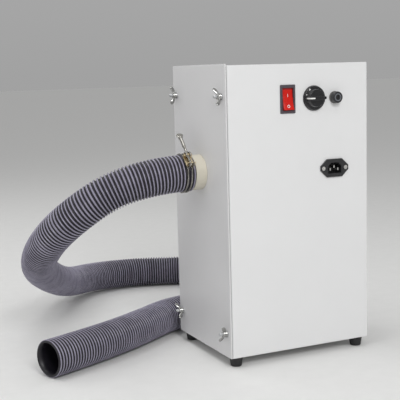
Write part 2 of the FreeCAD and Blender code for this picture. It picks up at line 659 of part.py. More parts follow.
def motor_stator():
    """Laminated stack with its two field coils standing out at both ends."""
    x0, x1 = STACK_X
    stack = rounded(x0, x1, -44.0, 44.0, MOTOR_Z - 40.0, MOTOR_Z + 40.0, X_AXIS, 14.0)
    stack = stack.cut(cyl("x", x0 - 1, x1 + 1, 23.5, 0, MOTOR_Z))
    coils = []
    for a0, a1 in ((x0 - 7.0, x0), (x1, x1 + 7.0)):
        for z0, z1 in ((MOTOR_Z + 25.0, MOTOR_Z + 37.0), (MOTOR_Z - 37.0, MOTOR_Z - 25.0)):
            coils.append(rounded(a0, a1, -28.0, 28.0, z0, z1, X_AXIS, 4.0))
    return fuse([stack] + coils)


def motor_armature():
    """Armature core with winding heads, and the commutator."""
    x0, x1 = STACK_X
    core = cyl("x", x0, x1, 23.0, 0, MOTOR_Z)
    slots = []
    for i in range(12):
        slot = box(x0 - 1, x1 + 1, -1.2, 1.2, MOTOR_Z + 17.0, MOTOR_Z + 26.0)
        slot.rotate(Vec(0, 0, MOTOR_Z), X_AXIS, 30.0 * i)
        slots.append(slot)
    core = core.cut(slots)
    heads = [cyl("x", x0 - 5.0, x0, 18.5, 0, MOTOR_Z), cyl("x", x1, x1 + 7.0, 18.5, 0, MOTOR_Z)]
    commutator = cyl("x", x1 + 7.0, x1 + 20.0, 12.0, 0, MOTOR_Z)
    rotor = fuse([core, commutator] + heads)
    return rotor.cut(cyl("x", x0 - 10, x1 + 30, SHAFT_R, 0, MOTOR_Z))


def motor_brushes():
    """Two brush holders, from the side bars to the commutator."""
    x0, x1 = STACK_X[1] + 9.0, STACK_X[1] + 18.0
    parts = []
    for side in (-1, 1):
        y0, y1 = sorted((side * 12.3, side * 44.0))
        parts.append(box(x0, x1, y0, y1, MOTOR_Z - 4.0, MOTOR_Z + 4.0))
    return Part.makeCompound(parts)


def motor_clamps():
    """Three clips that press the motor against the divider, each with its long screw."""
    parts = []
    face = FAN_X1 + 1.5
    for angle in (90, 210, 330):
        top = box(face, face + 1.5, 62.0, 86.0, MOTOR_Z - 8.0, MOTOR_Z + 8.0)
        leg = box(DIVIDER_X + SHEET, face, 84.5, 86.0, MOTOR_Z - 8.0, MOTOR_Z + 8.0)
        clip = fuse([top, leg]).cut(cyl("x", face - 1, face + 3, 2.0, 78.0, MOTOR_Z))
        clip.rotate(Vec(0, 0, MOTOR_Z), X_AXIS, angle)
        parts.append(clip)
    for y, z in motor_screw_places():
        shank = cyl("x", DIVIDER_X - 1.0, face + 1.5, 2.0, y, z)
        head = hexagon("x", face + 1.5, face + 4.5, 7.0, y, z)
        head_left = cyl("x", DIVIDER_X - 3.0, DIVIDER_X, 3.8, y, z)
        parts.append(fuse([shank, head, head_left]))
    return Part.makeCompound(parts)


# ----------------------------------------------------------------- controls

BEZEL_T = 2.0
ROCKER_PIVOT_Y = FRONT + 0.5
ROCKER_W = 18.4
ROCKER_R = 16.4
SOCKET_HALF_W, SOCKET_HALF_H = 9.5, 16.8


def switch_body():
    """Switch housing: bezel, body behind the panel, snap wings and the rocker's well."""
    bezel = rounded(SWITCH_X - SWITCH_W / 2, SWITCH_X + SWITCH_W / 2, FRONT - BEZEL_T, FRONT,
                    ROW_Z - SWITCH_H / 2, ROW_Z + SWITCH_H / 2, Y_AXIS, 1.5)
    rim = [e for e in bezel.Edges if abs(e.CenterOfMass.y - (FRONT - BEZEL_T)) < 0.01]
    bezel = bezel.makeChamfer(0.7, rim)
    body = box(SWITCH_X - 10.8, SWITCH_X + 10.8, FRONT, FRONT + 22.0, ROW_Z - 18.4, ROW_Z + 18.4)
    wings = []
    for z0, z1 in ((ROW_Z + 18.4, ROW_Z + 20.4), (ROW_Z - 20.4, ROW_Z - 18.4)):
        wings.append(box(SWITCH_X - 5.0, SWITCH_X + 5.0, IN_FRONT, IN_FRONT + 6.0, z0, z1))
    well = box(SWITCH_X - SOCKET_HALF_W, SWITCH_X + SOCKET_HALF_W, FRONT - BEZEL_T - 1, FRONT + 17.0,
               ROW_Z - SOCKET_HALF_H, ROW_Z + SOCKET_HALF_H)
    pin = cyl("x", SWITCH_X - 10.4, SWITCH_X + 10.4, 1.5 + RUN_GAP, ROCKER_PIVOT_Y, ROW_Z)
    return fuse([bezel, body] + wings).cut([well, pin])


def switch_rocker():
    """Rocker with two shallow slopes, turning on two stub pins."""
    y_end, y_mid = FRONT - 4.2, FRONT - 2.4
    outline = [(y_end, 17.0), (y_mid, 0.0), (y_end, -17.0), (FRONT + 3.0, -17.0), (FRONT + 9.0, -7.0),
               (FRONT + 9.0, 7.0), (FRONT + 3.0, 17.0)]
    x0 = SWITCH_X - ROCKER_W / 2
    body = prism([(x0, y, ROW_Z + z) for y, z in outline], (ROCKER_W, 0, 0))
    body = body.common(cyl("x", x0 - 1, x0 + ROCKER_W + 1, ROCKER_R, ROCKER_PIVOT_Y, ROW_Z))
    pin = cyl("x", SWITCH_X - 10.2, SWITCH_X + 10.2, 1.5, ROCKER_PIVOT_Y, ROW_Z)
    rocker = fuse([body, pin])
    rocker.rotate(Vec(SWITCH_X, ROCKER_PIVOT_Y, ROW_Z), X_AXIS, -SWITCH_TILT)
    return rocker


def switch_terminals():
    """Blade terminals of the switch."""
    blades = []
    for x in (SWITCH_X - 6.0, SWITCH_X + 6.0):
        for z in (ROW_Z - 9.0, ROW_Z + 9.0):
            blades.append(box(x - 0.4, x + 0.4, FRONT + 22.0, FRONT + 31.0, z - 3.1, z + 3.1))
    return Part.makeCompound(blades)


def speed_knob():
    """Pointer knob: a thin skirt, a round body, and a grip bar that slopes down to its pointer."""
    y_skirt = FRONT - 0.6
    y_low, y_top = y_skirt - 3.0, FRONT - KNOB_H
    skirt = Part.makeCone(KNOB_R, KNOB_R - 1.6, 3.6, Vec(KNOB_X, y_skirt, ROW_Z), Vec(0, -1, 0))
    body = Part.makeCone(15.0, 13.0, 6.4, Vec(KNOB_X, y_skirt - 3.6, ROW_Z), Vec(0, -1, 0))
    plan = [(-15.0, -2.6), (-13.0, -3.8), (19.0, -2.0), (20.0, 0.0), (19.0, 2.0), (-13.0, 3.8), (-15.0, 2.6)]
    bar = prism([(KNOB_X + x, y_low, ROW_Z + z) for x, z in plan], (0, y_top - y_low, 0))
    side = [(-16.0, y_low + 1), (-16.0, y_top + 2.0), (-12.0, y_top), (7.0, y_top), (13.0, y_top + 5.0),
            (21.0, y_low - 1.0), (21.0, y_low + 1)]
    bar = bar.common(prism([(KNOB_X + x, y, ROW_Z - 5.0) for x, y in side], (0, 0, 10.0)))
    knob = fuse([skirt, body, bar])
    return knob.cut(cyl("y", y_top + 4.0, FRONT + 1, 3.0, KNOB_X, ROW_Z))


def pot_shaft():
    """Shaft of the speed control, fixed in the knob."""
    return cyl("y", FRONT - KNOB_H + 4.0, FRONT + 16.0, 3.0, KNOB_X, ROW_Z)


def pot_body():
    """Speed control: a can behind the panel with its threaded bushing."""
    bushing = cyl("y", FRONT - 0.3, IN_FRONT + 8.0, 3.6, KNOB_X, ROW_Z)
    shoulder = cyl("y", IN_FRONT + 3.0, IN_FRONT + 8.0, 8.0, KNOB_X, ROW_Z)
    can = cyl("y", IN_FRONT + 8.0, IN_FRONT + 18.0, 12.0, KNOB_X, ROW_Z)
    bore = cyl("y", FRONT - 2, FRONT + 16.5, 3.0 + RUN_GAP, KNOB_X, ROW_Z)
    return fuse([bushing, shoulder, can]).cut(bore)


def panel_nuts():
    """Nuts behind the panel: of the speed control and of the fuse holder."""
    parts = []
    for x, thick, flats, bore in ((KNOB_X, 3.0, 11.0, 3.6), (FUSE_X, 4.0, 17.0, 6.25)):
        nut = hexagon("y", IN_FRONT, IN_FRONT + thick, flats, x, ROW_Z)
        parts.append(nut.cut(cyl("y", IN_FRONT - 1, IN_FRONT + thick + 1, bore, x, ROW_Z)))
    return Part.makeCompound(parts)


BOARD_Y = IN_FRONT + 24.0


def control_board():
    """Speed control board on two pillars behind the panel, with its larger parts."""
    x0, x1, z0, z1 = 4.0, 50.0, ROW_Z - 62.0, ROW_Z - 16.0
    board = box(x0, x1, BOARD_Y, BOARD_Y + 1.6, z0, z1)
    pillars = []
    for x, z in ((x0 + 4, z0 + 4), (x1 - 4, z1 - 4), (x0 + 4, z1 - 4), (x1 - 4, z0 + 4)):
        pillars.append(cyl("y", IN_FRONT, BOARD_Y, 2.5, x, z))
    sink = box(x0 + 8, x0 + 26, BOARD_Y + 1.6, BOARD_Y + 20.0, z1 - 14, z1 - 4)
    sink = sink.cut([box(x0 + 7, x0 + 27, BOARD_Y + 5.0, BOARD_Y + 21.0, z1 - a - 1.6, z1 - a) for a in (6.0, 9.6)])
    cap = cyl("y", BOARD_Y + 1.6, BOARD_Y + 17.0, 6.0, x1 - 12, z0 + 14)
    coil = ring("y", BOARD_Y + 1.6, BOARD_Y + 9.6, 8.0, 3.5, x0 + 13, z0 + 13)
    block = box(x1 - 22, x1 - 4, BOARD_Y + 1.6, BOARD_Y + 11.6, z1 - 22, z1 - 14)
    return fuse([board, sink, cap, coil, block] + pillars)


def fuse_body():
    """Fuse holder: a round flange on the panel and a tube behind it."""
    flange = cyl("y", FRONT - 2.4, FRONT, FUSE_CAP_R, FUSE_X, ROW_Z)
    front_edge = [e for e in flange.Edges if abs(e.CenterOfMass.y - (FRONT - 2.4)) < 0.01]
    flange = flange.makeFillet(0.8, front_edge)
    tube = cyl("y", FRONT, FRONT + 34.0, 6.25, FUSE_X, ROW_Z)
    tag = box(FUSE_X - 2.4, FUSE_X + 2.4, FRONT + 34.0, FRONT + 42.0, ROW_Z - 0.4, ROW_Z + 0.4)
    bore = cyl("y", FRONT - 3, FRONT + 31.0, 5.2, FUSE_X, ROW_Z)
    return fuse([flange, tube, tag]).cut(bore)


def fuse_carrier():
    """Carrier tube inside the cap: it grips the fuse and comes out with it."""
    clip = ring("y", FRONT - 5.4, FRONT + 6.0, 3.6, 2.6, FUSE_X, ROW_Z)
    disc = cyl("y", FRONT - 6.6, FRONT - 5.4, 3.6, FUSE_X, ROW_Z)
    return fuse([clip, disc])


def glass_fuse():
    """Cartridge fuse, 5 by 20 mm."""
    return cyl("y", FRONT - 5.4, FRONT + 14.6, 2.6, FUSE_X, ROW_Z)


def fuse_cap():
    """Screw-in cap with a driver slot across its face."""
    y_face = FRONT - 10.5
    head = cyl("y", y_face, FRONT - 2.7, 8.8, FUSE_X, ROW_Z)
    face_edge = [e for e in head.Edges if abs(e.CenterOfMass.y - y_face) < 0.01]
    head = head.makeFillet(1.2, face_edge)
    plug = cyl("y", FRONT - 2.8, FRONT + 4.0, 4.9, FUSE_X, ROW_Z)
    slot = box(FUSE_X - 3.6, FUSE_X + 3.6, y_face - 1, y_face + 1.8, ROW_Z - 1.0, ROW_Z + 1.0)
    slot.rotate(Vec(FUSE_X, 0, ROW_Z), Y_AXIS, -80.0)
    hollow = cyl("y", FRONT - 7.0, FRONT + 5, 3.6 + RUN_GAP, FUSE_X, ROW_Z)
    return fuse([head, plug]).cut([slot, hollow])


def inlet_outline(y, grow, depth):
    """Appliance inlet opening: a rectangle with two cut corners."""
    w, h, corner = 12.0 + grow, 8.25 + grow, 5.6
    points = [(-w, -h), (w, -h), (w, h - corner), (w - corner, h), (corner - w, h), (-w, h - corner)]
    return prism([(INLET_X + x, y, INLET_Z + z) for x, z in points], (0, depth, 0))


def inlet_socket():
    """Mains inlet: a flange with two screw ears, a body, and a deep recess."""
    t = 2.6
    flange = box(INLET_X - 13.6, INLET_X + 13.6, FRONT - t, FRONT, INLET_Z - 14.0, INLET_Z + 14.0)
    ears = prism([(INLET_X - 13.6, FRONT - t, INLET_Z - 14.0), (INLET_X - 25.0, FRONT - t, INLET_Z - 3.4),
                  (INLET_X - 25.0, FRONT - t, INLET_Z + 3.4), (INLET_X - 13.6, FRONT - t, INLET_Z + 14.0),
                  (INLET_X + 13.6, FRONT - t, INLET_Z + 14.0), (INLET_X + 25.0, FRONT - t, INLET_Z + 3.4),
                  (INLET_X + 25.0, FRONT - t, INLET_Z - 3.4), (INLET_X + 13.6, FRONT - t, INLET_Z - 14.0)],
                 (0, t, 0))
    body = box(INLET_X - 13.6, INLET_X + 13.6, FRONT, FRONT + 19.0, INLET_Z - 10.0, INLET_Z + 10.0)
    cuts = [inlet_outline(FRONT - t - 1, 0.0, 17.0 + 1)]
    for side in (-1, 1):
        x = INLET_X + side * INLET_SCREW_GAP / 2
        cuts.append(cyl("y", FRONT - t - 1, FRONT + 1, 1.6, x, INLET_Z))
        cuts.append(Part.makeCone(3.2, 1.6, 1.6, Vec(x, FRONT - t, INLET_Z), Y_AXIS))
    return fuse([flange, ears, body]).cut(cuts)


def inlet_pins():
    """Three contact blades, with their tags behind the body."""
    floor_y = FRONT - 2.6 + 17.0
    parts = []
    for x, z in ((-7.0, -2.0), (7.0, -2.0), (0.0, 2.0)):
        blade = box(INLET_X + x - 1.0, INLET_X + x + 1.0, FRONT - 0.6, floor_y, INLET_Z + z - 2.0, INLET_Z + z + 2.0)
        tag = box(INLET_X + x - 0.4, INLET_X + x + 0.4, FRONT + 19.0, FRONT + 27.0,
                  INLET_Z + z - 2.0, INLET_Z + z + 2.0)
        parts += [blade, tag]
    return Part.makeCompound(parts)


def inlet_screws():
    """Countersunk screws of the inlet, each with its nut."""
    parts = []
    for side in (-1, 1):
        x = INLET_X + side * INLET_SCREW_GAP / 2
        head = Part.makeCone(3.2, 1.6, 1.6, Vec(x, FRONT - 2.6, INLET_Z), Y_AXIS)
        head = head.cut(box(x - 2.4, x + 2.4, FRONT - 3, FRONT - 1.9, INLET_Z - 0.4, INLET_Z + 0.4))
        shank = cyl("y", FRONT - 1.2, FRONT + 8.0, 1.6, x, INLET_Z)
        nut = hexagon("y", IN_FRONT, IN_FRONT + 2.4, 5.5, x, INLET_Z)
        parts.append(fuse([head, shank, nut]))
    return Part.makeCompound(parts)


def wire_between(points, radius):
    """Round insulated wire along straight runs with bent corners."""
    path, _ = route_wire(points)
    start = Vec(*points[0])
    direction = (Vec(*points[1]) - start).normalize()
    section = Part.Wire(Part.Circle(start, direction, radius).toShape())
    return path.makePipeShell([section], True, False)


def wiring():
    """Insulated wires inside: inlet to switch, switch to board, board to motor, and earth."""
    y_inlet, y_switch = FRONT + 27.0, FRONT + 31.0
    z_low, z_high = INLET_Z - 2.0, ROW_Z - 9.0
    live = wire_between([(INLET_X - 7.0, y_inlet, z_low), (INLET_X - 7.0, y_inlet + 18.0, z_low),
                         (INLET_X - 30.0, y_inlet + 36.0, z_low + 30.0), (SWITCH_X + 6.0, y_switch + 28.0, z_high - 26.0),
                         (SWITCH_X + 6.0, y_switch + 22.0, z_high), (SWITCH_X + 6.0, y_switch, z_high)], 1.4)
    neutral = wire_between([(INLET_X + 7.0, y_inlet, z_low), (INLET_X + 7.0, y_inlet + 20.0, z_low),
                            (INLET_X - 8.0, y_inlet + 44.0, z_low - 40.0), (40.0, -4.0, MOTOR_Z + 66.0),
                            (30.0, 6.0, MOTOR_Z + 56.0), (30.0, 6.0, MOTOR_Z + 40.0)], 1.4)
    earth = wire_between([(INLET_X, y_inlet, INLET_Z + 2.0), (INLET_X, y_inlet + 12.0, INLET_Z + 2.0),
                          (INLET_X + 34.0, y_inlet + 22.0, INLET_Z - 40.0), (84.0, -50.0, 120.0),
                          (80.0, -50.0, 50.0), (80.0, -50.0, FLOOR_Z + 1.8)], 1.4)
    return Part.makeCompound([live, neutral, earth])


PARTS = [
    ("cabinet_wrap", cabinet_wrap), ("top_panel", top_panel), ("base_pan", base_pan),
    ("chamber_divider", chamber_divider), ("cabinet_fixings", cabinet_fixings), ("earth_stud", earth_stud),
    ("foot_screws", foot_screws), ("side_cover", side_cover), ("cover_gasket", cover_gasket),
    ("cover_studs", cover_studs), ("cover_washers", cover_washers), ("inlet_spigot", inlet_spigot),
    ("spigot_ring", spigot_ring), ("spigot_gasket", spigot_gasket), ("hose", hose),
    ("clamp_wires", clamp_wires), ("clamp_saddle", clamp_saddle), ("clamp_nut", clamp_nut),
    ("clamp_screw", clamp_screw), ("bag_collar", bag_collar), ("bag_bracket", bag_bracket),
    ("filter_bag", filter_bag), ("motor_filter", motor_filter), ("filter_frame", filter_frame),
    ("exhaust_grille", exhaust_grille), ("exhaust_foam", exhaust_foam),
    ("motor_gasket", motor_gasket), ("fan_housing", fan_housing), ("fan_impeller", fan_impeller),
    ("motor_shaft", motor_shaft), ("motor_frame", motor_frame), ("motor_bearings", motor_bearings),
    ("motor_stator", motor_stator), ("motor_armature", motor_armature), ("motor_brushes", motor_brushes),
    ("motor_clamps", motor_clamps), ("switch_body", switch_body),
    ("switch_rocker", switch_rocker), ("switch_terminals", switch_terminals), ("speed_knob", speed_knob),
    ("pot_shaft", pot_shaft), ("pot_body", pot_body), ("panel_nuts", panel_nuts), ("control_board", control_board),
    ("fuse_body", fuse_body), ("fuse_carrier", fuse_carrier),
    ("glass_fuse", glass_fuse), ("fuse_cap", fuse_cap), ("inlet_socket", inlet_socket),
    ("inlet_pins", inlet_pins), ("inlet_screws", inlet_screws), ("wiring", wiring),
]

os.makedirs("parts", exist_ok=True)
shapes = {name: make() for name, make in PARTS}
for name, x, y in foot_places():
    shapes[name] = rubber_foot(x, y)
for name, y, z, turn in WING_NUTS:
    shapes[name] = wing_nut(y, z, turn)
for name, shape in shapes.items():
    if not shape.isValid():
        print("not valid:", name)
    shape.exportStep("parts/" + name + ".step")
print(len(shapes), "parts")
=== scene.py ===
"""Looks of the bench dust extractor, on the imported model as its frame. Metres, same frame."""
import json
from bisect import bisect_right
from functools import cache
from math import cos, pi, radians, sin, sqrt

import bmesh
import bpy
from mathutils import Matrix, Vector


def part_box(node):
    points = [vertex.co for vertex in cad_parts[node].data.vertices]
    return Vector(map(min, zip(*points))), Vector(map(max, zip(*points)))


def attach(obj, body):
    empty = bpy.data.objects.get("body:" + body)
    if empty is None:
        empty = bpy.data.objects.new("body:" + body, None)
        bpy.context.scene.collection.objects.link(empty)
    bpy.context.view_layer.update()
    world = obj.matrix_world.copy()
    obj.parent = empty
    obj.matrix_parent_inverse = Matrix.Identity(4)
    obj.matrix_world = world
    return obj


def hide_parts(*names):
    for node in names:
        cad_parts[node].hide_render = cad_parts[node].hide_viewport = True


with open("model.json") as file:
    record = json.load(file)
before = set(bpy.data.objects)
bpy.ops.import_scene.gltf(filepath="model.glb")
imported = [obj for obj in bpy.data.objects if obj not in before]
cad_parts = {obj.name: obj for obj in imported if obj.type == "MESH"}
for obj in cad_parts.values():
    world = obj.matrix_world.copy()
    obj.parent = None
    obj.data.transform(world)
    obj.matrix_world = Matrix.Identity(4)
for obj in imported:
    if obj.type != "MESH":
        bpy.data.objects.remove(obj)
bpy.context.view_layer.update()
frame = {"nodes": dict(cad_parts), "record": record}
NODES = frame["nodes"]
BODY_OF = {node: body for body, nodes in frame["record"]["behaviour"]["bodies"].items() for node in nodes}
SLOT_OF = {part["node"]: part["material_slot"] for part in frame["record"]["subparts"]}
MM = 0.001
X = Vector((1, 0, 0))
Y = Vector((0, 1, 0))


def middle(node):
    """Middle of a CAD node's box."""
    low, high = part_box(node)
    return (Vector(low) + Vector(high)) / 2


def added(name, data):
    """New object with some data, in the scene."""
    obj = bpy.data.objects.new(name, data)
    bpy.context.scene.collection.objects.link(obj)
    return obj


# ------------------------------------------------------------------ camera, light, floor

CAMERA_AT = (-0.7234, -1.2981, 0.4458)
CAMERA_AZIMUTH = radians(-24.74)      # turned to its right from +Y
CAMERA_TILT = radians(7.89)           # looking down
CAMERA_ROLL = radians(-1.59)
CAMERA_LENS = 82.8
SKY_LEVEL = 0.765                     # grey of the surroundings at the horizon
SKY_WHITE_AT = 0.45                   # height share where they turn white
SKY_STRENGTH = 0.47
FLOOR_HALF = 30.0
FLOOR_Z = -0.0005                     # just under the feet, so the two never share a plane


def camera():
    """Camera at the viewing angle, built from its azimuth, tilt and roll."""
    az, el, roll = CAMERA_AZIMUTH, CAMERA_TILT, CAMERA_ROLL
    ahead = Vector((-sin(az) * cos(el), cos(az) * cos(el), -sin(el)))
    level = Vector((cos(az), sin(az), 0.0))
    upward = level.cross(ahead)
    right = level * cos(roll) + upward * sin(roll)
    up = upward * cos(roll) - level * sin(roll)
    turn = Matrix((right, up, -ahead)).transposed()
    data = bpy.data.cameras.new("camera")
    data.lens = CAMERA_LENS
    data.sensor_width = 36.0
    data.clip_start, data.clip_end = 0.01, 50.0
    obj = added("camera", data)
    obj.matrix_world = Matrix.Translation(CAMERA_AT) @ turn.to_4x4()
    bpy.context.scene.camera = obj


def area_light(name, at, aim, size, power):
    """Soft square light that points at a place."""
    data = bpy.data.lights.new(name, "AREA")
    data.shape = "SQUARE"
    data.size = size
    data.energy = power
    obj = added(name, data)
    obj.location = at
    obj.rotation_mode = "QUATERNION"
    obj.rotation_quaternion = (Vector(aim) - Vector(at)).to_track_quat("-Z", "Y")


def surroundings():
    """Pale world, a little darker at the horizon than above."""
    world = bpy.data.worlds.new("studio")
    world.use_nodes = True
    tree = world.node_tree
    background = tree.nodes["Background"]
    background.inputs["Strength"].default_value = SKY_STRENGTH
    place = tree.nodes.new("ShaderNodeTexCoord")
    split = tree.nodes.new("ShaderNodeSeparateXYZ")
    ramp = colour_ramp(tree, 0.0, (SKY_LEVEL, SKY_LEVEL, SKY_LEVEL), SKY_WHITE_AT, (1.0, 1.0, 1.0))
    tree.links.new(place.outputs["Generated"], split.inputs["Vector"])
    tree.links.new(split.outputs["Z"], ramp.inputs["Fac"])
    tree.links.new(ramp.outputs["Color"], background.inputs["Color"])
    bpy.context.scene.world = world


def studio():
    """Pale floor, pale surroundings and four soft lights."""
    bpy.context.scene.view_settings.view_transform = "Standard"
    surroundings()
    area_light("key", (-0.4, -2.2, 1.7), (0.0, -0.05, 0.30), 0.8, 26.0)
    area_light("fill", (-2.3, -0.7, 1.6), (-0.1, 0.0, 0.34), 1.0, 6.0)
    area_light("rim", (-0.9, 1.6, 1.7), (-0.2, 0.1, 0.2), 1.0, 7.0)
    area_light("top", (-0.45, 0.0, 2.0), (-0.25, 0.1, 0.0), 1.0, 7.0)
    mesh = bpy.data.meshes.new("floor")
    corners = [(x * FLOOR_HALF, y * FLOOR_HALF, 0) for x, y in ((-1, -1), (1, -1), (1, 1), (-1, 1))]
    mesh.from_pydata(corners, [], [(0, 1, 2, 3)])
    mesh.materials.append(material("floor_paper"))
    floor = added("floor", mesh)
    floor.location.z = FLOOR_Z


# ------------------------------------------------------------------ materials

def node(tree, kind, **inputs):
    """New shader node with some of its sockets set by name."""
    made = tree.nodes.new(kind)
    for name, value in inputs.items():
        made.inputs[name.replace("_", " ")].default_value = value
    return made


def colour_ramp(tree, low_at, low, high_at, high):
    """Colour ramp with two stops."""
    ramp = tree.nodes.new("ShaderNodeValToRGB")
    first, second = ramp.color_ramp.elements
    first.position = low_at
    first.color = (*low, 1)
    second.position = high_at
    second.color = (*high, 1)
    return ramp


NOISE_LOW, NOISE_HIGH = 0.3, 0.7      # range of the noise that the colour and roughness span
WEAR_SCALE = 0.06                     # scale of the worn patches against the grain's
WEAR_LOW, WEAR_HIGH = 0.55, 0.75      # range of the slow noise over which wear sets in
WEAR_SHADE = 0.55                     # colour of a worn place against the plain colour
ROUGHNESS_MIN = 0.02


def worn(tree, place, tint, colour, scale, amount):
    """Tint that darkens towards the worn shade where a slow noise is high."""
    slow = node(tree, "ShaderNodeTexNoise", Scale=scale * WEAR_SCALE, Detail=3.0, Roughness=0.55)
    tree.links.new(place.outputs["Object"], slow.inputs["Vector"])
    patch = node(tree, "ShaderNodeMapRange", From_Min=WEAR_LOW, From_Max=WEAR_HIGH, To_Min=0.0, To_Max=amount)
    tree.links.new(slow.outputs["Fac"], patch.inputs["Value"])
    mix = tree.nodes.new("ShaderNodeMix")
    mix.data_type = "RGBA"
    mix.inputs["B"].default_value = (*[c * WEAR_SHADE for c in colour], 1)
    tree.links.new(patch.outputs["Result"], mix.inputs["Factor"])
    tree.links.new(tint, mix.inputs["A"])
    return mix.outputs["Result"]


def surface(name, colour, roughness, metallic=0.0, grain=(300.0, 0.04, 0.1), bump=(900.0, 0.0, 0.0002),
            stretch=(1, 1, 1), coat=0.0, sheen=0.0, transmission=0.0, wear=0.0, specular=0.5):
    """Material whose colour and roughness drift with a noise, over a fine bump.

    grain is (scale, colour drift, roughness drift); bump is (scale, strength, depth in metres).
    wear is how far the worn patches go towards a darker shade, from 0 to 1.
    """
    mat = bpy.data.materials.new(name)
    mat.use_nodes = True
    tree = mat.node_tree
    shader = tree.nodes["Principled BSDF"]
    shader.inputs["Metallic"].default_value = metallic
    shader.inputs["Coat Weight"].default_value = coat
    shader.inputs["Coat Roughness"].default_value = 0.15
    shader.inputs["Sheen Weight"].default_value = sheen
    shader.inputs["Transmission Weight"].default_value = transmission
    shader.inputs["Specular IOR Level"].default_value = specular
    place = tree.nodes.new("ShaderNodeTexCoord")
    mapping = node(tree, "ShaderNodeMapping", Scale=stretch)
    tree.links.new(place.outputs["Object"], mapping.inputs["Vector"])
    scale, colour_drift, roughness_drift = grain
    noise = node(tree, "ShaderNodeTexNoise", Scale=scale, Detail=4.0, Roughness=0.6)
    tree.links.new(mapping.outputs["Vector"], noise.inputs["Vector"])
    low = [max(0.0, c * (1 - colour_drift)) for c in colour]
    high = [min(1.0, c * (1 + colour_drift)) for c in colour]
    ramp = colour_ramp(tree, NOISE_LOW, low, NOISE_HIGH, high)
    tree.links.new(noise.outputs["Fac"], ramp.inputs["Fac"])
    tint = ramp.outputs["Color"]
    if wear:
        tint = worn(tree, place, tint, colour, scale, wear)
    tree.links.new(tint, shader.inputs["Base Color"])
    spread = node(tree, "ShaderNodeMapRange", From_Min=NOISE_LOW, From_Max=NOISE_HIGH,
                  To_Min=max(ROUGHNESS_MIN, roughness - roughness_drift),
                  To_Max=min(1.0, roughness + roughness_drift))
    tree.links.new(noise.outputs["Fac"], spread.inputs["Value"])
    tree.links.new(spread.outputs["Result"], shader.inputs["Roughness"])
    bump_scale, strength, depth = bump
    if strength:
        fine = node(tree, "ShaderNodeTexNoise", Scale=bump_scale, Detail=3.0, Roughness=0.5)
        tree.links.new(mapping.outputs["Vector"], fine.inputs["Vector"])
        relief = node(tree, "ShaderNodeBump", Strength=strength, Distance=depth)
        tree.links.new(fine.outputs["Fac"], relief.inputs["Height"])
        tree.links.new(relief.outputs["Normal"], shader.inputs["Normal"])
    return mat


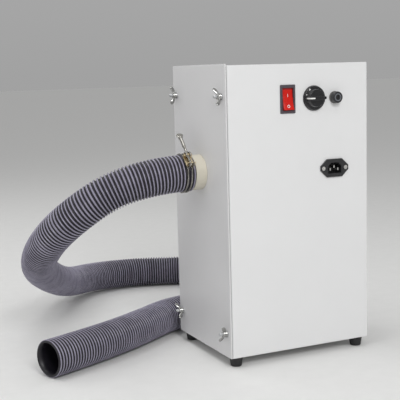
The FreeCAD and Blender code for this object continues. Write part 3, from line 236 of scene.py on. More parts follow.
SURFACES = {
    "floor_paper": dict(colour=(0.80, 0.80, 0.79), roughness=0.9, grain=(40.0, 0.015, 0.0)),
    # painted sheet
    "white_powder_coat": dict(colour=(0.80, 0.802, 0.805), roughness=0.42, grain=(9.0, 0.012, 0.05),
                              bump=(1300.0, 0.16, 0.00012), wear=0.03),
    "cover_powder_coat": dict(colour=(0.725, 0.722, 0.728), roughness=0.40, grain=(9.0, 0.02, 0.05),
                              bump=(1300.0, 0.16, 0.00012), wear=0.04),
    # metals
    "bright_plating": dict(colour=(0.74, 0.73, 0.71), roughness=0.2, metallic=1.0, grain=(400.0, 0.08, 0.07),
                           bump=(700.0, 0.05, 0.0001)),
    "zinc_plating": dict(colour=(0.60, 0.61, 0.62), roughness=0.36, metallic=1.0, grain=(90.0, 0.12, 0.1),
                         bump=(500.0, 0.06, 0.0001)),
    # zinc with a golden tint that is painted reflection of the cream spigot
    "zinc_with_painted_gold_reflection": dict(colour=(0.72, 0.60, 0.38), roughness=0.27, metallic=1.0, grain=(140.0, 0.15, 0.1),
                        bump=(600.0, 0.06, 0.0001)),
    "nut_plating": dict(colour=(0.38, 0.38, 0.37), roughness=0.20, metallic=1.0, grain=(260.0, 0.15, 0.08),
                        bump=(500.0, 0.12, 0.0002), wear=0.5),
    "clamp_wire": dict(colour=(0.30, 0.285, 0.26), roughness=0.26, metallic=1.0, grain=(300.0, 0.15, 0.08)),
    "screw_plating": dict(colour=(0.42, 0.41, 0.38), roughness=0.20, metallic=1.0, grain=(260.0, 0.1, 0.08),
                          bump=(500.0, 0.08, 0.0001)),
    "cast_aluminium": dict(colour=(0.62, 0.63, 0.65), roughness=0.4, metallic=1.0, grain=(200.0, 0.1, 0.08),
                           bump=(700.0, 0.15, 0.0002)),
    "brass": dict(colour=(0.72, 0.53, 0.24), roughness=0.28, metallic=1.0, grain=(200.0, 0.1, 0.08),
                  bump=(600.0, 0.05, 0.0001)),
    "varnished_copper": dict(colour=(0.42, 0.13, 0.045), roughness=0.34, metallic=0.7,
                             grain=(500.0, 0.25, 0.1), bump=(2200.0, 0.7, 0.0004), coat=0.5),
    "laminated_steel": dict(colour=(0.16, 0.165, 0.175), roughness=0.5, metallic=0.9,
                            grain=(1200.0, 0.35, 0.1), bump=(1500.0, 0.4, 0.0002), stretch=(3.0, 0.1, 0.1)),
    # plastics
    # the hose's ridges and grooves are lit and shaded copies of one dark plastic: the ridge colour is raised
    # above the hose's own dark grey, partly painted highlight, and the grooves are near black, painted shade
    "hose_plastic": dict(colour=(0.27, 0.255, 0.33), roughness=0.28, grain=(45.0, 0.14, 0.08),
                         bump=(1100.0, 0.12, 0.0001), wear=0.2),
    "hose_groove_painted_shade": dict(colour=(0.010, 0.009, 0.014), roughness=0.5, grain=(60.0, 0.2, 0.1),
                        bump=(900.0, 0.15, 0.0001)),
    "cream_plastic": dict(colour=(0.62, 0.585, 0.49), roughness=0.33, grain=(30.0, 0.05, 0.06),
                          bump=(700.0, 0.08, 0.0001), wear=0.12),
    "black_plastic": dict(colour=(0.022, 0.022, 0.024), roughness=0.36, grain=(250.0, 0.2, 0.08),
                          bump=(1800.0, 0.2, 0.0001)),
    "glossy_black_plastic": dict(colour=(0.012, 0.012, 0.014), roughness=0.16, grain=(120.0, 0.2, 0.06),
                                 bump=(900.0, 0.05, 0.00008), coat=0.3),
    "grey_plastic": dict(colour=(0.075, 0.062, 0.075), roughness=0.42, grain=(250.0, 0.15, 0.06),
                         bump=(1800.0, 0.2, 0.0001)),
    "fuse_holder_grey": dict(colour=(0.13, 0.125, 0.12), roughness=0.4, grain=(250.0, 0.15, 0.06),
                             bump=(1800.0, 0.2, 0.0001)),
    "fuse_ring_grey": dict(colour=(0.16, 0.17, 0.19), roughness=0.35, grain=(300.0, 0.1, 0.05)),
    "red_plastic": dict(colour=(0.62, 0.012, 0.006), roughness=0.3, grain=(120.0, 0.1, 0.05),
                        bump=(900.0, 0.05, 0.0001), specular=0.3),
    # darker red for the rocker's top strip and sides: painted shade
    "red_plastic_painted_shade": dict(colour=(0.26, 0.008, 0.008), roughness=0.34, grain=(120.0, 0.1, 0.05),
                             specular=0.3),
    # white for the rocker's printed marks, and for the knob's marks, which are partly painted highlight
    "white_ink_and_painted_highlight": dict(colour=(0.85, 0.85, 0.84), roughness=0.5, grain=(400.0, 0.04, 0.05)),
    "component_black": dict(colour=(0.03, 0.03, 0.032), roughness=0.45, grain=(300.0, 0.2, 0.08)),
    "solder_mask": dict(colour=(0.02, 0.16, 0.07), roughness=0.3, grain=(350.0, 0.25, 0.05),
                        bump=(500.0, 0.1, 0.0001), coat=0.3),
    "wire_brown": dict(colour=(0.16, 0.06, 0.03), roughness=0.42, grain=(300.0, 0.1, 0.05)),
    "wire_blue": dict(colour=(0.02, 0.08, 0.34), roughness=0.42, grain=(300.0, 0.1, 0.05)),
    "wire_green": dict(colour=(0.10, 0.38, 0.06), roughness=0.42, grain=(300.0, 0.1, 0.05)),
    "fuse_glass": dict(colour=(0.85, 0.90, 0.90), roughness=0.06, grain=(100.0, 0.03, 0.02),
                       transmission=0.9),
    # rubber, foam, card and fleece
    "black_rubber": dict(colour=(0.018, 0.018, 0.019), roughness=0.68, grain=(150.0, 0.3, 0.1),
                         bump=(900.0, 0.2, 0.0002), wear=0.2),
    "closed_foam": dict(colour=(0.03, 0.03, 0.032), roughness=0.85, grain=(500.0, 0.3, 0.05),
                        bump=(1600.0, 0.5, 0.0003)),
    "open_foam": dict(colour=(0.055, 0.056, 0.06), roughness=0.95, grain=(700.0, 0.6, 0.03),
                      bump=(1100.0, 1.0, 0.0009)),
    "pressed_card": dict(colour=(0.42, 0.30, 0.17), roughness=0.85, grain=(260.0, 0.2, 0.04),
                         bump=(600.0, 0.4, 0.0003)),
    "bag_fleece": dict(colour=(0.66, 0.64, 0.57), roughness=0.95, grain=(500.0, 0.12, 0.03),
                       bump=(1400.0, 0.9, 0.0006), sheen=0.3, wear=0.25),
    "bag_binding": dict(colour=(0.50, 0.48, 0.42), roughness=0.9, grain=(700.0, 0.1, 0.03),
                        bump=(1800.0, 0.8, 0.0004), stretch=(1.0, 1.0, 3.0)),
}


@cache
def material(name):
    """Material from the list above, made when it is first asked for."""
    return surface(name, **SURFACES[name])


def paint(finish, names):
    """Give CAD nodes one material."""
    for name in names:
        for place in NODES[name].material_slots:
            place.material = material(finish)


# ------------------------------------------------------------------ mesh helpers

THREAD_STEPS = 6                      # rings for each turn of a thread
LEAD_IN = 0.8                         # length of a thread's taper, mm
LEAD_IN_DEPTH = 0.6


def ring(centre, u, v, wide, tall, sides):
    """Points round an ellipse. wide and tall are its half sizes along u and v, in mm."""
    angles = [2 * pi * k / sides for k in range(sides)]
    return [centre + (u * cos(a) * wide + v * sin(a) * tall) * MM for a in angles]


class Shell:
    """Points and faces of one piece, gathered part by part."""

    def __init__(self):
        self.points = []
        self.faces = []
        self.finishes = []

    def skin(self, rows, finish=0, loop=False):
        """Faces over rows of points, each row a closed ring, with flat ends unless the rows make a loop.

        finish is a number, or in a loop one for each band.
        """
        first, width = len(self.points), len(rows[0])
        for row in rows:
            self.points += row
        bands = len(rows) if loop else len(rows) - 1
        for i in range(bands):
            here = first + i * width
            there = first + (i + 1) % len(rows) * width
            shade = finish if isinstance(finish, int) else finish[i]
            for k in range(width):
                n = (k + 1) % width
                self.faces.append((here + k, here + n, there + n, there + k))
                self.finishes.append(shade)
        if not loop:
            last = first + (len(rows) - 1) * width
            self.faces.append(tuple(range(first + width - 1, first - 1, -1)))
            self.faces.append(tuple(range(last, last + width)))
            self.finishes += [finish, finish]

    def lathe(self, profile, origin, axis, sides=48, loop=False):
        """Round body about an axis. The profile is (radius, height) in mm."""
        axis = Vector(axis).normalized()
        u = axis.orthogonal().normalized()
        v = axis.cross(u)
        rows = [ring(Vector(origin) + axis * height * MM, u, v, radius, radius, sides)
                for radius, height in profile]
        self.skin(rows, loop=loop)

    def tube(self, line, radius, sides=16):
        """Round bar along a line of points. radius is in mm."""
        rows = [ring(centre, u, v, radius, radius, sides) for (u, v), centre in zip(frames_along(line), line)]
        self.skin(rows)

    def thread(self, start, direction, length, radius, pitch, depth, sides=20):
        """Screw thread with a shallow taper at both ends. Sizes in mm."""
        axis = Vector(direction).normalized()
        u = axis.orthogonal().normalized()
        v = axis.cross(u)
        steps = int(length / pitch * THREAD_STEPS)
        rows = []
        for i in range(steps + 1):
            along = length * i / steps
            lead_in = LEAD_IN_DEPTH * max(0.0, 1 - min(along, length - along) / LEAD_IN)
            row = []
            for k in range(sides):
                phase = (along / pitch - k / sides) % 1.0
                tooth = abs(2 * phase - 1)
                r = (radius - depth * tooth - lead_in) * MM
                a = 2 * pi * k / sides
                row.append(Vector(start) + axis * along * MM + (u * cos(a) + v * sin(a)) * r)
            rows.append(row)
        self.skin(rows)

    def piece(self, name, body, slot_name, mats, sharp=35):
        """Object that rides on a body. Edges sharper than the angle, in degrees, stay sharp."""
        mesh = bpy.data.meshes.new(name)
        mesh.from_pydata([tuple(p) for p in self.points], [], self.faces)
        for mat in mats:
            mesh.materials.append(mat)
        mesh.polygons.foreach_set("material_index", self.finishes)
        outward(mesh)
        mesh.shade_smooth()
        mesh.set_sharp_from_angle(angle=radians(sharp))
        obj = added(name, mesh)
        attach(obj, body)
        return obj


def outward(mesh):
    """Turn every closed part of a mesh right side out."""
    shape = bmesh.new()
    shape.from_mesh(mesh)
    bmesh.ops.recalc_face_normals(shape, faces=shape.faces)
    shape.to_mesh(mesh)
    shape.free()


def frames_along(points):
    """Two normals at each point of a line, with no twist."""
    side = (points[1] - points[0]).normalized().orthogonal().normalized()
    made = []
    for i in range(len(points)):
        before = points[max(i - 1, 0)]
        after = points[min(i + 1, len(points) - 1)]
        tangent = (after - before).normalized()
        side = (side - tangent * side.dot(tangent)).normalized()
        made.append((side, tangent.cross(side)))
    return made


def spline_points(name, route, resolution=24):
    """Points of the NURBS line that a route's points control."""
    curve = bpy.data.curves.new(name, "CURVE")
    curve.dimensions = "3D"
    spline = curve.splines.new("NURBS")
    spline.points.add(len(route) - 1)
    for point, place in zip(spline.points, route):
        point.co = (*place, 1.0)
    spline.order_u = 3
    spline.use_endpoint_u = True
    spline.resolution_u = resolution
    holder = added(name, curve)
    bpy.context.view_layer.update()
    line = bpy.data.meshes.new_from_object(holder)
    points = [v.co.copy() for v in line.vertices]
    bpy.data.objects.remove(holder)
    bpy.data.curves.remove(curve)
    bpy.data.meshes.remove(line)
    return points


def at_length(points, lengths, s):
    """Point a given length along a line."""
    s = min(max(s, 0.0), lengths[-1])
    low = min(bisect_right(lengths, s) - 1, len(lengths) - 2)
    span = lengths[low + 1] - lengths[low]
    share = (s - lengths[low]) / span if span else 0.0
    return points[low].lerp(points[low + 1], share)


def running_lengths(points):
    """Length along a line up to each of its points."""
    lengths = [0.0]
    for a, b in zip(points, points[1:]):
        lengths.append(lengths[-1] + (b - a).length)
    return lengths


def settled(obj):
    """Swap a piece's mesh for the one its modifiers make."""
    bpy.context.view_layer.update()
    graph = bpy.context.evaluated_depsgraph_get()
    mesh = bpy.data.meshes.new_from_object(obj.evaluated_get(graph))
    old = obj.data
    obj.modifiers.clear()
    obj.data = mesh
    bpy.data.meshes.remove(old)


def cast(obj, voxel):
    """Melt a piece's overlapping parts into one skin with softened inner corners. voxel is in mm."""
    remesh = obj.modifiers.new("melt", "REMESH")
    remesh.mode = "VOXEL"
    remesh.voxel_size = voxel * MM
    remesh.use_smooth_shade = True
    smooth = obj.modifiers.new("soften", "SMOOTH")
    smooth.iterations = 2
    settled(obj)


WELD = 1e-6                           # points of a CAD mesh nearer than this are one, in metres
EDGE_ANGLE = 40                       # edges sharper than this are rounded, in degrees


def as_node(name, suffix, shape, mats, sharp):
    """Object made from a bmesh, which stands for a CAD node and rides as it does."""
    mesh = bpy.data.meshes.new(name + suffix)
    shape.to_mesh(mesh)
    shape.free()
    for mat in mats:
        mesh.materials.append(mat)
    mesh.set_sharp_from_angle(angle=radians(sharp))
    obj = added(name + suffix, mesh)
    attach(obj, BODY_OF[name])
    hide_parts(name)
    return obj


def softened(name, finishes, width, finish_of=None):
    """Copy of a CAD node with its sharp edges rounded, which stands for the node. width is in mm.

    finish_of gives a face's place in the list of finishes from the face's middle, in mm.
    """
    shape = bmesh.new()
    shape.from_mesh(NODES[name].data)
    bmesh.ops.remove_doubles(shape, verts=shape.verts, dist=WELD)
    bmesh.ops.dissolve_limit(shape, angle_limit=radians(1), verts=shape.verts, edges=shape.edges)
    sharp = [e for e in shape.edges if e.is_manifold and e.calc_face_angle(0) > radians(EDGE_ANGLE)]
    bmesh.ops.bevel(shape, geom=sharp, offset=width * MM, segments=2, profile=0.5, affect="EDGES",
                    clamp_overlap=False)
    for face in shape.faces:
        face.material_index = finish_of(face.calc_center_median() / MM) if finish_of else 0
        face.smooth = True
    obj = as_node(name, "_finished", shape, [material(finish) for finish in finishes], EDGE_ANGLE)
    weighted = obj.modifiers.new("flat_faces", "WEIGHTED_NORMAL")
    weighted.keep_sharp = True


# ------------------------------------------------------------------ hose

SPIGOT_END_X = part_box("spigot_ring")[0][0]
HOSE_Z = middle("spigot_ring").z
HOSE_R = 0.029
HOSE_BORE_R = 0.025
# control points from the spigot to the open end: those of the CAD route, with the second to the
# seventh moved a little
HOSE_ROUTE = (
    (SPIGOT_END_X, 0.0, HOSE_Z),
    (-0.240, 0.0, HOSE_Z),
    (-0.340, 0.050, 0.220),
    (-0.355, 0.155, 0.145),
    (-0.290, 0.310, 0.085),
    (-0.220, 0.435, 0.040),
    (-0.146, 0.500, 0.032),
    (-0.041, 0.508, HOSE_R),
    (0.080, 0.456, HOSE_R),
    (0.142, 0.354, HOSE_R),
    (0.124, 0.236, HOSE_R),
    (0.033, 0.159, HOSE_R),
    (-0.110, 0.159, HOSE_R),
    (-0.194, 0.098, HOSE_R),
    (-0.290, 0.042, HOSE_R),
    (-0.380, 0.004, HOSE_R),
)
RIB_PITCH = 0.0054
RIB_DEPTH = 0.0028
# one rib from valley to valley: share of the pitch, and height of the surface
RIB_SHAPE = ((0.0, 0.0), (0.22, 0.03), (0.29, 0.62), (0.38, 0.94), (0.50, 1.0), (0.62, 0.94), (0.71, 0.62),
             (0.78, 0.03))
HOSE_SIDES = 32
BORE_ROWS = 150


def hose_stations(total):
    """Lengths along the hose with the skin's radius: out over the ribs, and back through the bore."""
    ribs = round(total / RIB_PITCH)
    outside = [((i + share) / ribs * total, HOSE_R - RIB_DEPTH * (1 - height))
               for i in range(ribs) for share, height in RIB_SHAPE]
    outside.append((total, HOSE_R - RIB_DEPTH))
    bore = [(total * (1 - i / (BORE_ROWS - 1)), HOSE_BORE_R) for i in range(BORE_ROWS)]
    return outside, bore


def hose():
    """Corrugated hose: ribs along its line outside, a plain bore inside, closed at both ends."""
    line = spline_points("hose_line", HOSE_ROUTE)
    lengths = running_lengths(line)
    outside, bore = hose_stations(lengths[-1])
    skin_line = [at_length(line, lengths, s) for s, _ in outside]
    bore_line = [at_length(line, lengths, s) for s, _ in reversed(bore)]
    frames = frames_along(skin_line) + frames_along(bore_line)[::-1]
    centres = skin_line + bore_line[::-1]
    stations = outside + bore
    rows = [ring(centre, u, v, radius / MM, radius / MM, HOSE_SIDES)
            for (u, v), centre, (_, radius) in zip(frames, centres, stations)]
    # faces deeper than half the rib get the near-black groove colour, painted shade; the rest get the lighter
    # ridge colour, partly painted highlight
    ridge_from = HOSE_R - RIB_DEPTH * 0.5
    finishes = [0 if (here + there) / 2 > ridge_from else 1
                for (_, here), (_, there) in zip(stations, stations[1:] + stations[:1])]
    shell = Shell()
    shell.skin(rows, finishes, loop=True)
    mats = [material("hose_plastic"), material("hose_groove_painted_shade")]
    piece = shell.piece("hose_ribbed", "cover", "hose_plastic", mats, sharp=180)
    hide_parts("hose")


# ------------------------------------------------------------------ cover fixings

# wings from level, degrees
NUT_TURN = {"wing_nut_1": 62, "wing_nut_2": 90, "wing_nut_3": 118, "wing_nut_4": 50}
# radius and height above the washer, mm
NUT_HUB = ((2.7, 0.0), (5.1, 0.0), (5.3, 0.5), (5.0, 1.2), (4.2, 5.2), (4.0, 6.6), (3.5, 7.2), (2.7, 7.2))
# wing from hub to tip: distance out, height, half height of the section, half thickness
WING_SECTIONS = ((2.6, 3.4, 2.2, 1.5), (4.6, 3.5, 2.4, 1.3), (6.8, 4.2, 2.7, 1.15), (9.0, 5.6, 3.2, 1.05),
                 (11.0, 7.4, 3.3, 1.0), (12.4, 8.8, 2.6, 0.9), (13.2, 9.8, 1.3, 0.6))
WING_OUT, WING_UP = 0.55, 0.83        # slant of a wing's sections, outward against away from the cover
WING_SIDES = 14
NUT_VOXEL = 0.3
STUD_R, STUD_PITCH, THREAD_DEPTH = 2.5, 0.8, 0.35
STUD_HEAD_H = 1.6


def wing_nut(name):
    """Cast wing nut: a tapered hub with two raised ears."""
    seat = middle(name)
    seat.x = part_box(name)[1][0]
    turn = radians(NUT_TURN[name])
    out, thick = Vector((0, cos(turn), sin(turn))), Vector((0, -sin(turn), cos(turn)))
    shell = Shell()
    shell.lathe(NUT_HUB, seat, -X, 40, loop=True)
    for side in (-1, 1):
        across = (out * side * WING_OUT - X * WING_UP).normalized().cross(thick)
        rows = []
        for reach, height, tall, flat in WING_SECTIONS:
            centre = seat + out * side * reach * MM - X * height * MM
            rows.append(ring(centre, across, thick, tall, flat, WING_SIDES))
        shell.skin(rows)
    nut = shell.piece(name + "_cast", name, SLOT_OF[name], [material("nut_plating")])
    cast(nut, NUT_VOXEL)
    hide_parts(name)


def cover_studs():
    """Threaded studs with their welded heads."""
    low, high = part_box("cover_studs")
    head = ((1.5, STUD_HEAD_H), (4.2, STUD_HEAD_H), (4.5, STUD_HEAD_H - 0.3), (4.5, 0.0), (1.5, 0.0))
    shell = Shell()
    for name in NUT_TURN:
        seat = middle(name)
        root = Vector((high[0] - STUD_HEAD_H * MM, seat.y, seat.z))
        shell.thread(root, -X, (root.x - low[0]) / MM, STUD_R, STUD_PITCH, THREAD_DEPTH)
        shell.lathe(head, root, X, 32)
    studs = shell.piece("cover_studs_threaded", "cabinet", SLOT_OF["cover_studs"], [material("zinc_plating")])
    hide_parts("cover_studs")


# ------------------------------------------------------------------ hose clamp

CLAMP_TILT = radians(135)                  # where the clamp closes, about +X from +Y
CLAMP_OUT = Vector((0, cos(CLAMP_TILT), sin(CLAMP_TILT)))
CLAMP_ALONG = Vector((0, sin(CLAMP_TILT), -cos(CLAMP_TILT)))
CLAMP_SCREW_UP = 36.0                      # screw's axis above the hose's axis, mm
CLAMP_LOW, CLAMP_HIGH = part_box("clamp_wires")
WIRE_R = 1.25
WIRE_LOOP_R = 29.6
WIRE_SIDES = 14
LOOP_STEPS = 72
# hooked ends of each wire, as (up, along), one on each side of the closure
WIRE_HOOKS = (
    ((24.0, 17.3), (27.5, 13.6), (33.0, 11.2), (37.2, 10.4), (40.2, 7.6), (39.6, 3.8), (37.4, 2.2)),
    ((24.6, -16.4), (28.0, -14.6), (31.0, -14.9), (35.0, -15.4), (38.4, -15.2), (40.6, -13.0)),
)
SCREW_FOOT = -14.5                         # along the clamp, where the screw starts
SCREW_THREAD = 38.0
# radius and distance from the screw's foot: shank with its end collar, and the stop near the foot
SCREW_SHANK = ((1.5, 37.0), (2.7, 37.8), (2.7, 54.0), (3.3, 54.4), (3.5, 54.8), (3.5, 56.2), (3.1, 56.6),
               (1.2, 56.6))
SCREW_STOP = ((1.4, 3.1), (2.7, 3.1), (2.9, 3.3), (2.9, 4.1), (2.7, 4.3), (1.4, 4.3))
TEE_ALONG = 46.0                           # along the clamp, middle of the tee head
TEE_HALF = 5.5
TEE_R = 4.0
TEE_THICK, TEE_THINNING = 1.8, 0.4         # half thickness at the middle, and what it loses at the tips
TEE_ROWS = 13


def clamp_at(x, up, along):
    """Point in the clamp's own directions, in mm from the hose's axis."""
    return Vector((x, 0, HOSE_Z)) + (CLAMP_OUT * up + CLAMP_ALONG * along) * MM


def clamp_wires(xs):
    """Wire loops with hooked ends, one at each x."""
    wires = Shell()
    for x in xs:
        loop = []
        for k in range(LOOP_STEPS):
            a = 2 * pi * k / LOOP_STEPS
            centre = clamp_at(x, WIRE_LOOP_R * cos(a), WIRE_LOOP_R * sin(a))
            out = (centre - Vector((x, 0, HOSE_Z))).normalized()
            loop.append(ring(centre, out, X, WIRE_R, WIRE_R, WIRE_SIDES))
        wires.skin(loop, loop=True)
        for hook in WIRE_HOOKS:
            line = spline_points("hook", [clamp_at(x, up, along) for up, along in hook], 8)
            wires.tube(line, WIRE_R, WIRE_SIDES)
    piece = wires.piece("clamp_wires_hooked", "cover", SLOT_OF["clamp_wires"], [material("clamp_wire")])
    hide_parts("clamp_wires")


def clamp_screw(x):
    """Thumb screw with its tee head."""
    screw = Shell()
    foot = clamp_at(x, CLAMP_SCREW_UP, SCREW_FOOT)
    screw.thread(foot, CLAMP_ALONG, SCREW_THREAD, 2.0, 0.7, 0.28, 18)
    screw.lathe(SCREW_SHANK, foot, CLAMP_ALONG, 32)
    screw.lathe(SCREW_STOP, foot, CLAMP_ALONG, 32)
    rows = []
    for i in range(TEE_ROWS):
        reach = -TEE_HALF + 2 * TEE_HALF * i / (TEE_ROWS - 1)
        share = sqrt(max(0.02, 1 - abs(reach / (TEE_HALF + 0.1)) ** 3.2))
        thick = TEE_THICK - TEE_THINNING * abs(reach / TEE_HALF)
        centre = clamp_at(x + reach * MM, CLAMP_SCREW_UP, TEE_ALONG)
        rows.append(ring(centre, CLAMP_ALONG, CLAMP_OUT, TEE_R * share, thick, 20))
    screw.skin(rows)
    mats = [material("screw_plating")]
    piece = screw.piece("clamp_screw_turned", "clamp_screw", SLOT_OF["clamp_screw"], mats)
    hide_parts("clamp_screw")


def hose_clamp():
    """Two wire loops, and the screw that runs between them."""
    xs = (CLAMP_LOW[0] + WIRE_R * MM, CLAMP_HIGH[0] - WIRE_R * MM)
    clamp_wires(xs)
    clamp_screw((xs[0] + xs[1]) / 2)


# ------------------------------------------------------------------ controls

KNOB = middle("speed_knob")
KNOB_FACE_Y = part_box("speed_knob")[0][1]
KNOB_BACK_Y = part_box("speed_knob")[1][1]
ROCKER_PIVOT = Vector((middle("switch_body").x, -0.0945, middle("switch_body").z))
ROCKER_TILT = radians(-9)
SKIRT_DEPTH = 3.6                          # knob's skirt, from its back face, mm
SKIRT_SINK, ROCKER_SINK = 0.05, 0.06       # how deep a mark starts inside its surface, mm
SKIRT_MARK_H, ROCKER_MARK_H = 0.15, 0.14   # thickness of a mark, mm
# marks on the knob's skirt, partly print and partly painted highlight of the glossy skirt: angle and half
# angle in degrees, inner and outer radius in mm
SKIRT_MARKS_AND_HIGHLIGHTS = ((126, 8.0, 15.2, 18.0), (160, 5.0, 15.2, 17.4))
# index line over the knob's bar, partly print and partly painted highlight along the bar's glossy left end:
# mm across, mm behind its face, and which way is out there
INDEX_LINE_AND_HIGHLIGHT = ((-8.0, 0.0, 0.0, -1.0), (-12.0, 0.0, -0.25, -1.0), (-15.0, 1.5, -1.0, -0.25),
              (-15.0, 13.0, -1.0, 0.0))
# section of the index line: lift above the bar, and up from its middle, mm
INDEX_SECTION = ((-0.1, -1.0), (0.3, -1.0), (0.3, 1.0), (-0.1, 1.0))
ROCKER_HALF_WIDTH = 9.1
ROCKER_REACH = 16.7                        # half height
ROCKER_MIDDLE = -1.9                       # the face's depth at its middle, in front of the pivot
ROCKER_RISE = 1.9                          # how much further forward it is at its ends
ROCKER_DISH = 0.5
ROCKER_EDGE = 0.8
PAINTED_SHADE_STRIP = 3.4                             # height of the strip at the rocker's top painted the darker red, as painted shade under the bezel
ON_BAR = ((-0.35, 3.0), (0.35, 3.0), (0.35, 7.5), (-0.35, 7.5))
OFF_RING_Z = -11.2
OFF_RING = ((1.5, 0.0), (2.3, 0.0), (2.3, ROCKER_MARK_H), (1.5, ROCKER_MARK_H))
OFF_RING_STEPS = 28


def flat_mark(shell, outline, thickness, place):
    """Thin raised mark. The outline is in mm across and up, and place turns it into points of the piece."""
    rows = []
    for depth in (0.0, thickness):
        rows.append([place(across, up, depth) for across, up in outline])
    shell.skin(rows)


def knob_marks_and_highlights():
    """White marks, partly print and partly painted highlight of the glossy knob: two wedges on the skirt, and
    an index line that runs over the bar's blunt end.
    """
    shell = Shell()
    skirt_y = KNOB_BACK_Y - SKIRT_DEPTH * MM

    def on_skirt(across, up, depth):
        return Vector((KNOB.x + across * MM, skirt_y + (SKIRT_SINK - depth) * MM, KNOB.z + up * MM))

    for angle, half, low, high in SKIRT_MARKS_AND_HIGHLIGHTS:
        corners = ((low, angle - half), (high, angle), (low, angle + half))
        wedge = [(radius * cos(radians(turn)), radius * sin(radians(turn))) for radius, turn in corners]
        flat_mark(shell, wedge, SKIRT_MARK_H, on_skirt)
    rows = []
    for across, depth, out_x, out_y in INDEX_LINE_AND_HIGHLIGHT:
        row = []
        for lift, up in INDEX_SECTION:
            x = KNOB.x + (across + out_x * lift) * MM
            y = KNOB_FACE_Y + (depth + out_y * lift) * MM
            row.append(Vector((x, y, KNOB.z + up * MM)))
        rows.append(row)
    shell.skin(rows)
    shell.piece("knob_marks_and_highlights", "knob", "white_panel", [material("white_ink_and_painted_highlight")])


def fuse_ring():
    """Raised ring moulded round the driver slot of the fuse cap."""
    face = middle("fuse_cap")
    face.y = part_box("fuse_cap")[0][1]
    shell = Shell()
    shell.lathe(((4.3, -0.05), (4.5, 0.15), (5.6, 0.15), (5.8, -0.05)), face, -Y, 48, loop=True)
    shell.piece("fuse_cap_ring", BODY_OF["fuse_cap"], SLOT_OF["fuse_cap"], [material("fuse_ring_grey")])


def rocker_place(across, up, depth):
    """Point of the rocker, in mm from its pivot, with the rocker tilted to on."""
    tilt = Matrix.Rotation(ROCKER_TILT, 3, "X")
    return ROCKER_PIVOT + tilt @ (Vector((across, depth, up)) * MM)


def rocker_face(z):
    """Depth of the rocker's front at a height: it rises to both ends, with a dish on the way."""
    share = abs(z) / ROCKER_REACH
    return ROCKER_MIDDLE - ROCKER_RISE * share ** 1.6 + ROCKER_DISH * sin(pi * share)


def rocker():
    """Rocker with two dished faces and soft edges, its top strip and sides painted a darker red as painted
    shade.
    """
    profile = []
    for i in range(25):
        z = ROCKER_REACH - 2 * ROCKER_REACH * i / 24
        profile.append((rocker_face(z), z))
    back = ((3.0, -ROCKER_REACH + 0.2), (8.5, -7.0), (8.5, 7.0), (3.0, ROCKER_REACH - 0.2))
    profile += back
    half = ROCKER_HALF_WIDTH
    sections = ((-half, ROCKER_EDGE), (-half + 0.25, 0.3), (-half + ROCKER_EDGE, 0.0),
                (half - ROCKER_EDGE, 0.0), (half - 0.25, 0.3), (half, ROCKER_EDGE))
    rows = []
    for x, shrink in sections:
        pull = 1 - shrink / ROCKER_REACH
        rows.append([rocker_place(x, z * pull, y + (shrink if y < 0 else 0)) for y, z in profile])
    shell = Shell()
    shell.skin(rows)
    shell.lathe(((1.5, -10.2), (1.5, 10.2)), ROCKER_PIVOT, X, 20)
    mats = [material("red_plastic"), material("red_plastic_painted_shade")]
    piece = shell.piece("rocker_moulded", "rocker", SLOT_OF["switch_rocker"], mats, sharp=50)
    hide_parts("switch_rocker")
    # the top strip and the rounded sides get the darker red: painted shade where the bezel shades the
    # pressed-in top and the sides turn from the light
    level = Matrix.Rotation(-ROCKER_TILT, 3, "X")
    for face in piece.data.polygons:
        at = level @ (Vector(face.center) - ROCKER_PIVOT) / MM
        if at.z > ROCKER_REACH - PAINTED_SHADE_STRIP or abs(at.x) > half - ROCKER_EDGE:
            face.material_index = 1


def rocker_marks():
    """Plain on bar and off ring, raised from the rocker's face."""
    def on_face(across, up, depth):
        return rocker_place(across, up, rocker_face(up) + ROCKER_SINK - depth)

    marks = Shell()
    flat_mark(marks, ON_BAR, ROCKER_MARK_H, on_face)
    rows = []
    for k in range(OFF_RING_STEPS):
        a = 2 * pi * k / OFF_RING_STEPS
        rows.append([on_face(radius * cos(a), OFF_RING_Z + radius * sin(a), depth)
                     for radius, depth in OFF_RING])
    marks.skin(rows, loop=True)
    marks.piece("rocker_marks", "rocker", "white_panel", [material("white_ink_and_painted_highlight")])


# ------------------------------------------------------------------ filter bag and foams

BAG_ROWS, BAG_SIDES = 15, 28
BAG_INSET = (9.0, 7.0, 7.0)                # how much smaller than its CAD box the bag starts, mm
BAG_CORNER, BINDING_CORNER = 0.45, 0.28    # powers of the rounded outlines: lower is squarer
BAG_PINCH = 0.12                           # share of its thickness that the bag keeps at its ends
BAG_VOXEL = 0.0065
CLOTH_STEPS = 12
CLOTH_PRESSURE = 4.0
CLOTH_MOVE = 7.0 * MM                      # how far the simulation may move a point
QUILT_DEPTH = 1.6 * MM
QUILT_PITCH = 0.052
BAG_MARGIN = 0.5 * MM                      # distance kept from the CAD box
NECK_R = 34.0 * MM                         # round the neck the bag stays flat behind its collar
NECK_REACH = 12.0 * MM
NECK_MARGIN = 2.0 * MM
BINDING_INSET = 2.2 * MM
BINDING_STEPS = 96
NECK_BAND = ((30.4, -5.0), (31.8, -4.6), (32.2, -2.0), (31.9, 1.5), (30.4, 2.0))


def rounded(angle, power):
    """Point of a rounded square of half size 1."""
    return [abs(c) ** power * (1 if c > 0 else -1) for c in (cos(angle), sin(angle))]


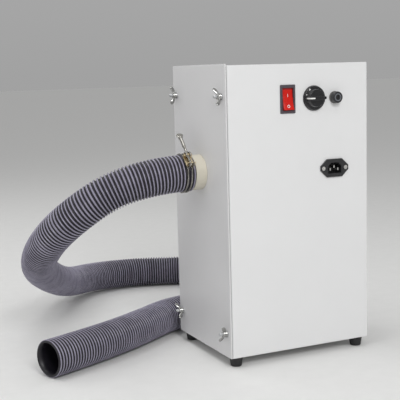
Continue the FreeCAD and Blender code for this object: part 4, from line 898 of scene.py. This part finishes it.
def bag_start(centre, half):
    """Plain bag, a little smaller than its CAD box, pinched at its top and bottom."""
    inset = half - Vector(BAG_INSET) * MM
    rows = []
    for i in range(BAG_ROWS):
        up = -1 + 2 * i / (BAG_ROWS - 1)
        pinch = max((1 - abs(up) ** 5) ** 0.5, BAG_PINCH)
        row = []
        for k in range(BAG_SIDES):
            x, y = rounded(2 * pi * k / BAG_SIDES, BAG_CORNER)
            row.append(centre + Vector((x * inset.x * pinch, y * inset.y, up * inset.z)))
        rows.append(row)
    shell = Shell()
    shell.skin(rows)
    mats = [material("bag_fleece")]
    bag = shell.piece("filter_bag_fleece", "cabinet", SLOT_OF["filter_bag"], mats, sharp=180)
    remesh = bag.modifiers.new("cells", "REMESH")
    remesh.mode = "VOXEL"
    remesh.voxel_size = BAG_VOXEL
    settled(bag)
    return bag


def blown_up(bag):
    """Swell a piece by cloth simulation."""
    cloth = bag.modifiers.new("cloth", "CLOTH")
    cloth.settings.use_pressure = True
    cloth.settings.uniform_pressure_force = CLOTH_PRESSURE
    cloth.settings.effector_weights.gravity = 0.0
    scene = bpy.context.scene
    for step in range(1, CLOTH_STEPS + 1):
        scene.frame_set(step)
    settled(bag)
    scene.frame_set(1)


def filter_bag():
    """Padded bag with sewn channels, inside its CAD box."""
    low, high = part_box("filter_bag")
    centre = (Vector(low) + Vector(high)) / 2
    half = (Vector(high) - Vector(low)) / 2
    neck_z = middle("bag_collar").z
    bag = bag_start(centre, half)
    rest = [v.co.copy() for v in bag.data.vertices]
    blown_up(bag)
    for vertex, start in zip(bag.data.vertices, rest):
        move = vertex.co - start
        if move.length > CLOTH_MOVE:
            move *= CLOTH_MOVE / move.length
        place = start + move
        quilt = QUILT_DEPTH * abs(sin((place.z - low[2]) / QUILT_PITCH * pi)) ** 0.5
        toward = 1 if place.x > centre.x else -1
        place.x += toward * (quilt - QUILT_DEPTH)
        for k in range(3):
            place[k] = min(max(place[k], low[k] + BAG_MARGIN), high[k] - BAG_MARGIN)
        near_neck = Vector((0, place.y, place.z - neck_z)).length < NECK_R
        if near_neck and place.x < low[0] + NECK_REACH:
            place.x = max(place.x, low[0] + NECK_MARGIN)
        vertex.co = place
    smooth = bag.modifiers.new("subdivide", "SUBSURF")
    smooth.levels = smooth.render_levels = 1
    settled(bag)
    bag.data.shade_smooth()
    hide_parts("filter_bag")
    bag_binding(centre, half, Vector((low[0], 0, neck_z)))


def bag_binding(centre, half, neck):
    """Bound edge round the bag, and the band round its neck."""
    binding = Shell()
    rows = []
    for k in range(BINDING_STEPS):
        y, z = rounded(2 * pi * k / BINDING_STEPS, BINDING_CORNER)
        place = Vector((centre.x, y * (half.y - BINDING_INSET), centre.z + z * (half.z - BINDING_INSET)))
        rows.append(ring(place, X, Vector((0, y, z)).normalized(), 2.4, 1.5, 8))
    binding.skin(rows, loop=True)
    binding.lathe(NECK_BAND, neck, X, 48, loop=True)
    binding.piece("filter_bag_binding", "cabinet", SLOT_OF["filter_bag"], [material("bag_binding")])


# ------------------------------------------------------------------ finishes of the CAD nodes

# CAD nodes that get rounded edges: finish, width of the edge in mm, nodes
SOFTENED = (
    ("white_powder_coat", 0.15, ("cabinet_wrap", "top_panel", "base_pan")),
    ("cover_powder_coat", 0.15, ("side_cover",)),
    ("cream_plastic", 0.3, ("spigot_ring", "inlet_spigot")),
    # the golden tint of the clamp saddle and nut is painted reflection
    ("zinc_with_painted_gold_reflection", 0.3, ("clamp_saddle",)),
    ("zinc_with_painted_gold_reflection", 0.25, ("clamp_nut",)),
    ("bright_plating", 0.12, ("cabinet_fixings", "inlet_screws")),
    ("bright_plating", 0.2, ("inlet_pins",)),
    ("zinc_plating", 0.15, ("cover_washers", "chamber_divider", "bag_bracket", "motor_clamps",
                            "foot_screws", "panel_nuts")),
    ("zinc_plating", 0.1, ("fan_housing",)),
    ("closed_foam", 0.15, ("cover_gasket",)),
    ("pressed_card", 0.4, ("bag_collar",)),
    ("black_plastic", 0.2, ("filter_frame",)),
    ("black_plastic", 0.3, ("exhaust_grille", "fuse_cap", "inlet_socket")),
    ("grey_plastic", 0.25, ("switch_body",)),
    ("glossy_black_plastic", 0.5, ("speed_knob",)),
    ("fuse_holder_grey", 0.3, ("fuse_body",)),
    ("cast_aluminium", 0.3, ("motor_frame",)),
    ("cast_aluminium", 0.1, ("fan_impeller",)),
    ("brass", 0.12, ("earth_stud",)),
    ("black_rubber", 0.3, ("foot_front_left", "foot_front_right", "foot_back_left", "foot_back_right")),
)
# CAD nodes that keep their mesh
PAINTED = (
    ("black_rubber", ("spigot_gasket", "motor_gasket")),
    ("open_foam", ("motor_filter", "exhaust_foam")),
    ("bright_plating", ("motor_bearings", "pot_shaft", "motor_shaft")),
    ("zinc_plating", ("pot_body",)),
    ("brass", ("motor_brushes", "switch_terminals", "fuse_carrier")),
    ("fuse_glass", ("glass_fuse",)),
)
# where nodes with several finishes change from one to the next, mm
STACK_LOW, STACK_HIGH = 16.0, 46.0         # ends of the motor's laminated stack
COMMUTATOR_X = 53.0
BOARD_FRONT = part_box("control_board")[0][1] / MM + 24.0
BOARD_BACK = BOARD_FRONT + 1.6
FACE_SLACK = 0.3                           # a face this far past a limit still counts as inside


def in_stack(at):
    """Whether a face of the motor belongs to its laminated stack."""
    return STACK_LOW - FACE_SLACK <= at.x <= STACK_HIGH + FACE_SLACK


def stator_finish(at):
    """Steel stack between copper coils."""
    return 0 if in_stack(at) else 1


def armature_finish(at):
    """Steel stack, copper windings, brass commutator."""
    if at.x > COMMUTATOR_X:
        return 2
    return 0 if in_stack(at) else 1


def board_finish(at):
    """Board, the parts on its back, and the metal in front of it."""
    if BOARD_FRONT - FACE_SLACK <= at.y <= BOARD_BACK + FACE_SLACK:
        return 0
    return 1 if at.y > BOARD_BACK else 2


def finish_nodes():
    """Materials and softened edges of everything that keeps its CAD shape."""
    for finish, width, names in SOFTENED:
        for name in names:
            softened(name, [finish], width)
    for finish, names in PAINTED:
        paint(finish, names)
    softened("motor_stator", ["laminated_steel", "varnished_copper"], 0.3, stator_finish)
    softened("motor_armature", ["laminated_steel", "varnished_copper", "brass"], 0.2, armature_finish)
    softened("control_board", ["solder_mask", "component_black", "zinc_plating"], 0.15, board_finish)
    wires()


def island(face):
    """Indices of the faces that hang together with a face."""
    found = {face.index}
    queue = [face]
    while queue:
        for edge in queue.pop().edges:
            for other in edge.link_faces:
                if other.index not in found:
                    found.add(other.index)
                    queue.append(other)
    return found


def wires():
    """The inner wires, each in one of three colours in turn."""
    finishes = ("wire_brown", "wire_blue", "wire_green")
    shape = bmesh.new()
    shape.from_mesh(NODES["wiring"].data)
    bmesh.ops.remove_doubles(shape, verts=shape.verts, dist=WELD)
    shape.faces.ensure_lookup_table()
    done = set()
    count = 0
    starts = sorted(shape.faces, key=lambda f: (round(f.calc_center_median().y, 5), f.calc_center_median().x))
    for face in starts:
        if face.index in done:
            continue
        wire = island(face)
        done |= wire
        for index in wire:
            shape.faces[index].material_index = count % len(finishes)
            shape.faces[index].smooth = True
        count += 1
    as_node("wiring", "_coloured", shape, [material(finish) for finish in finishes], 50)


def main():
    """Build the studio, then every piece."""
    camera()
    studio()
    hose()
    finish_nodes()
    for name in NUT_TURN:
        wing_nut(name)
    cover_studs()
    hose_clamp()
    knob_marks_and_highlights()
    fuse_ring()
    rocker()
    rocker_marks()
    filter_bag()


main()
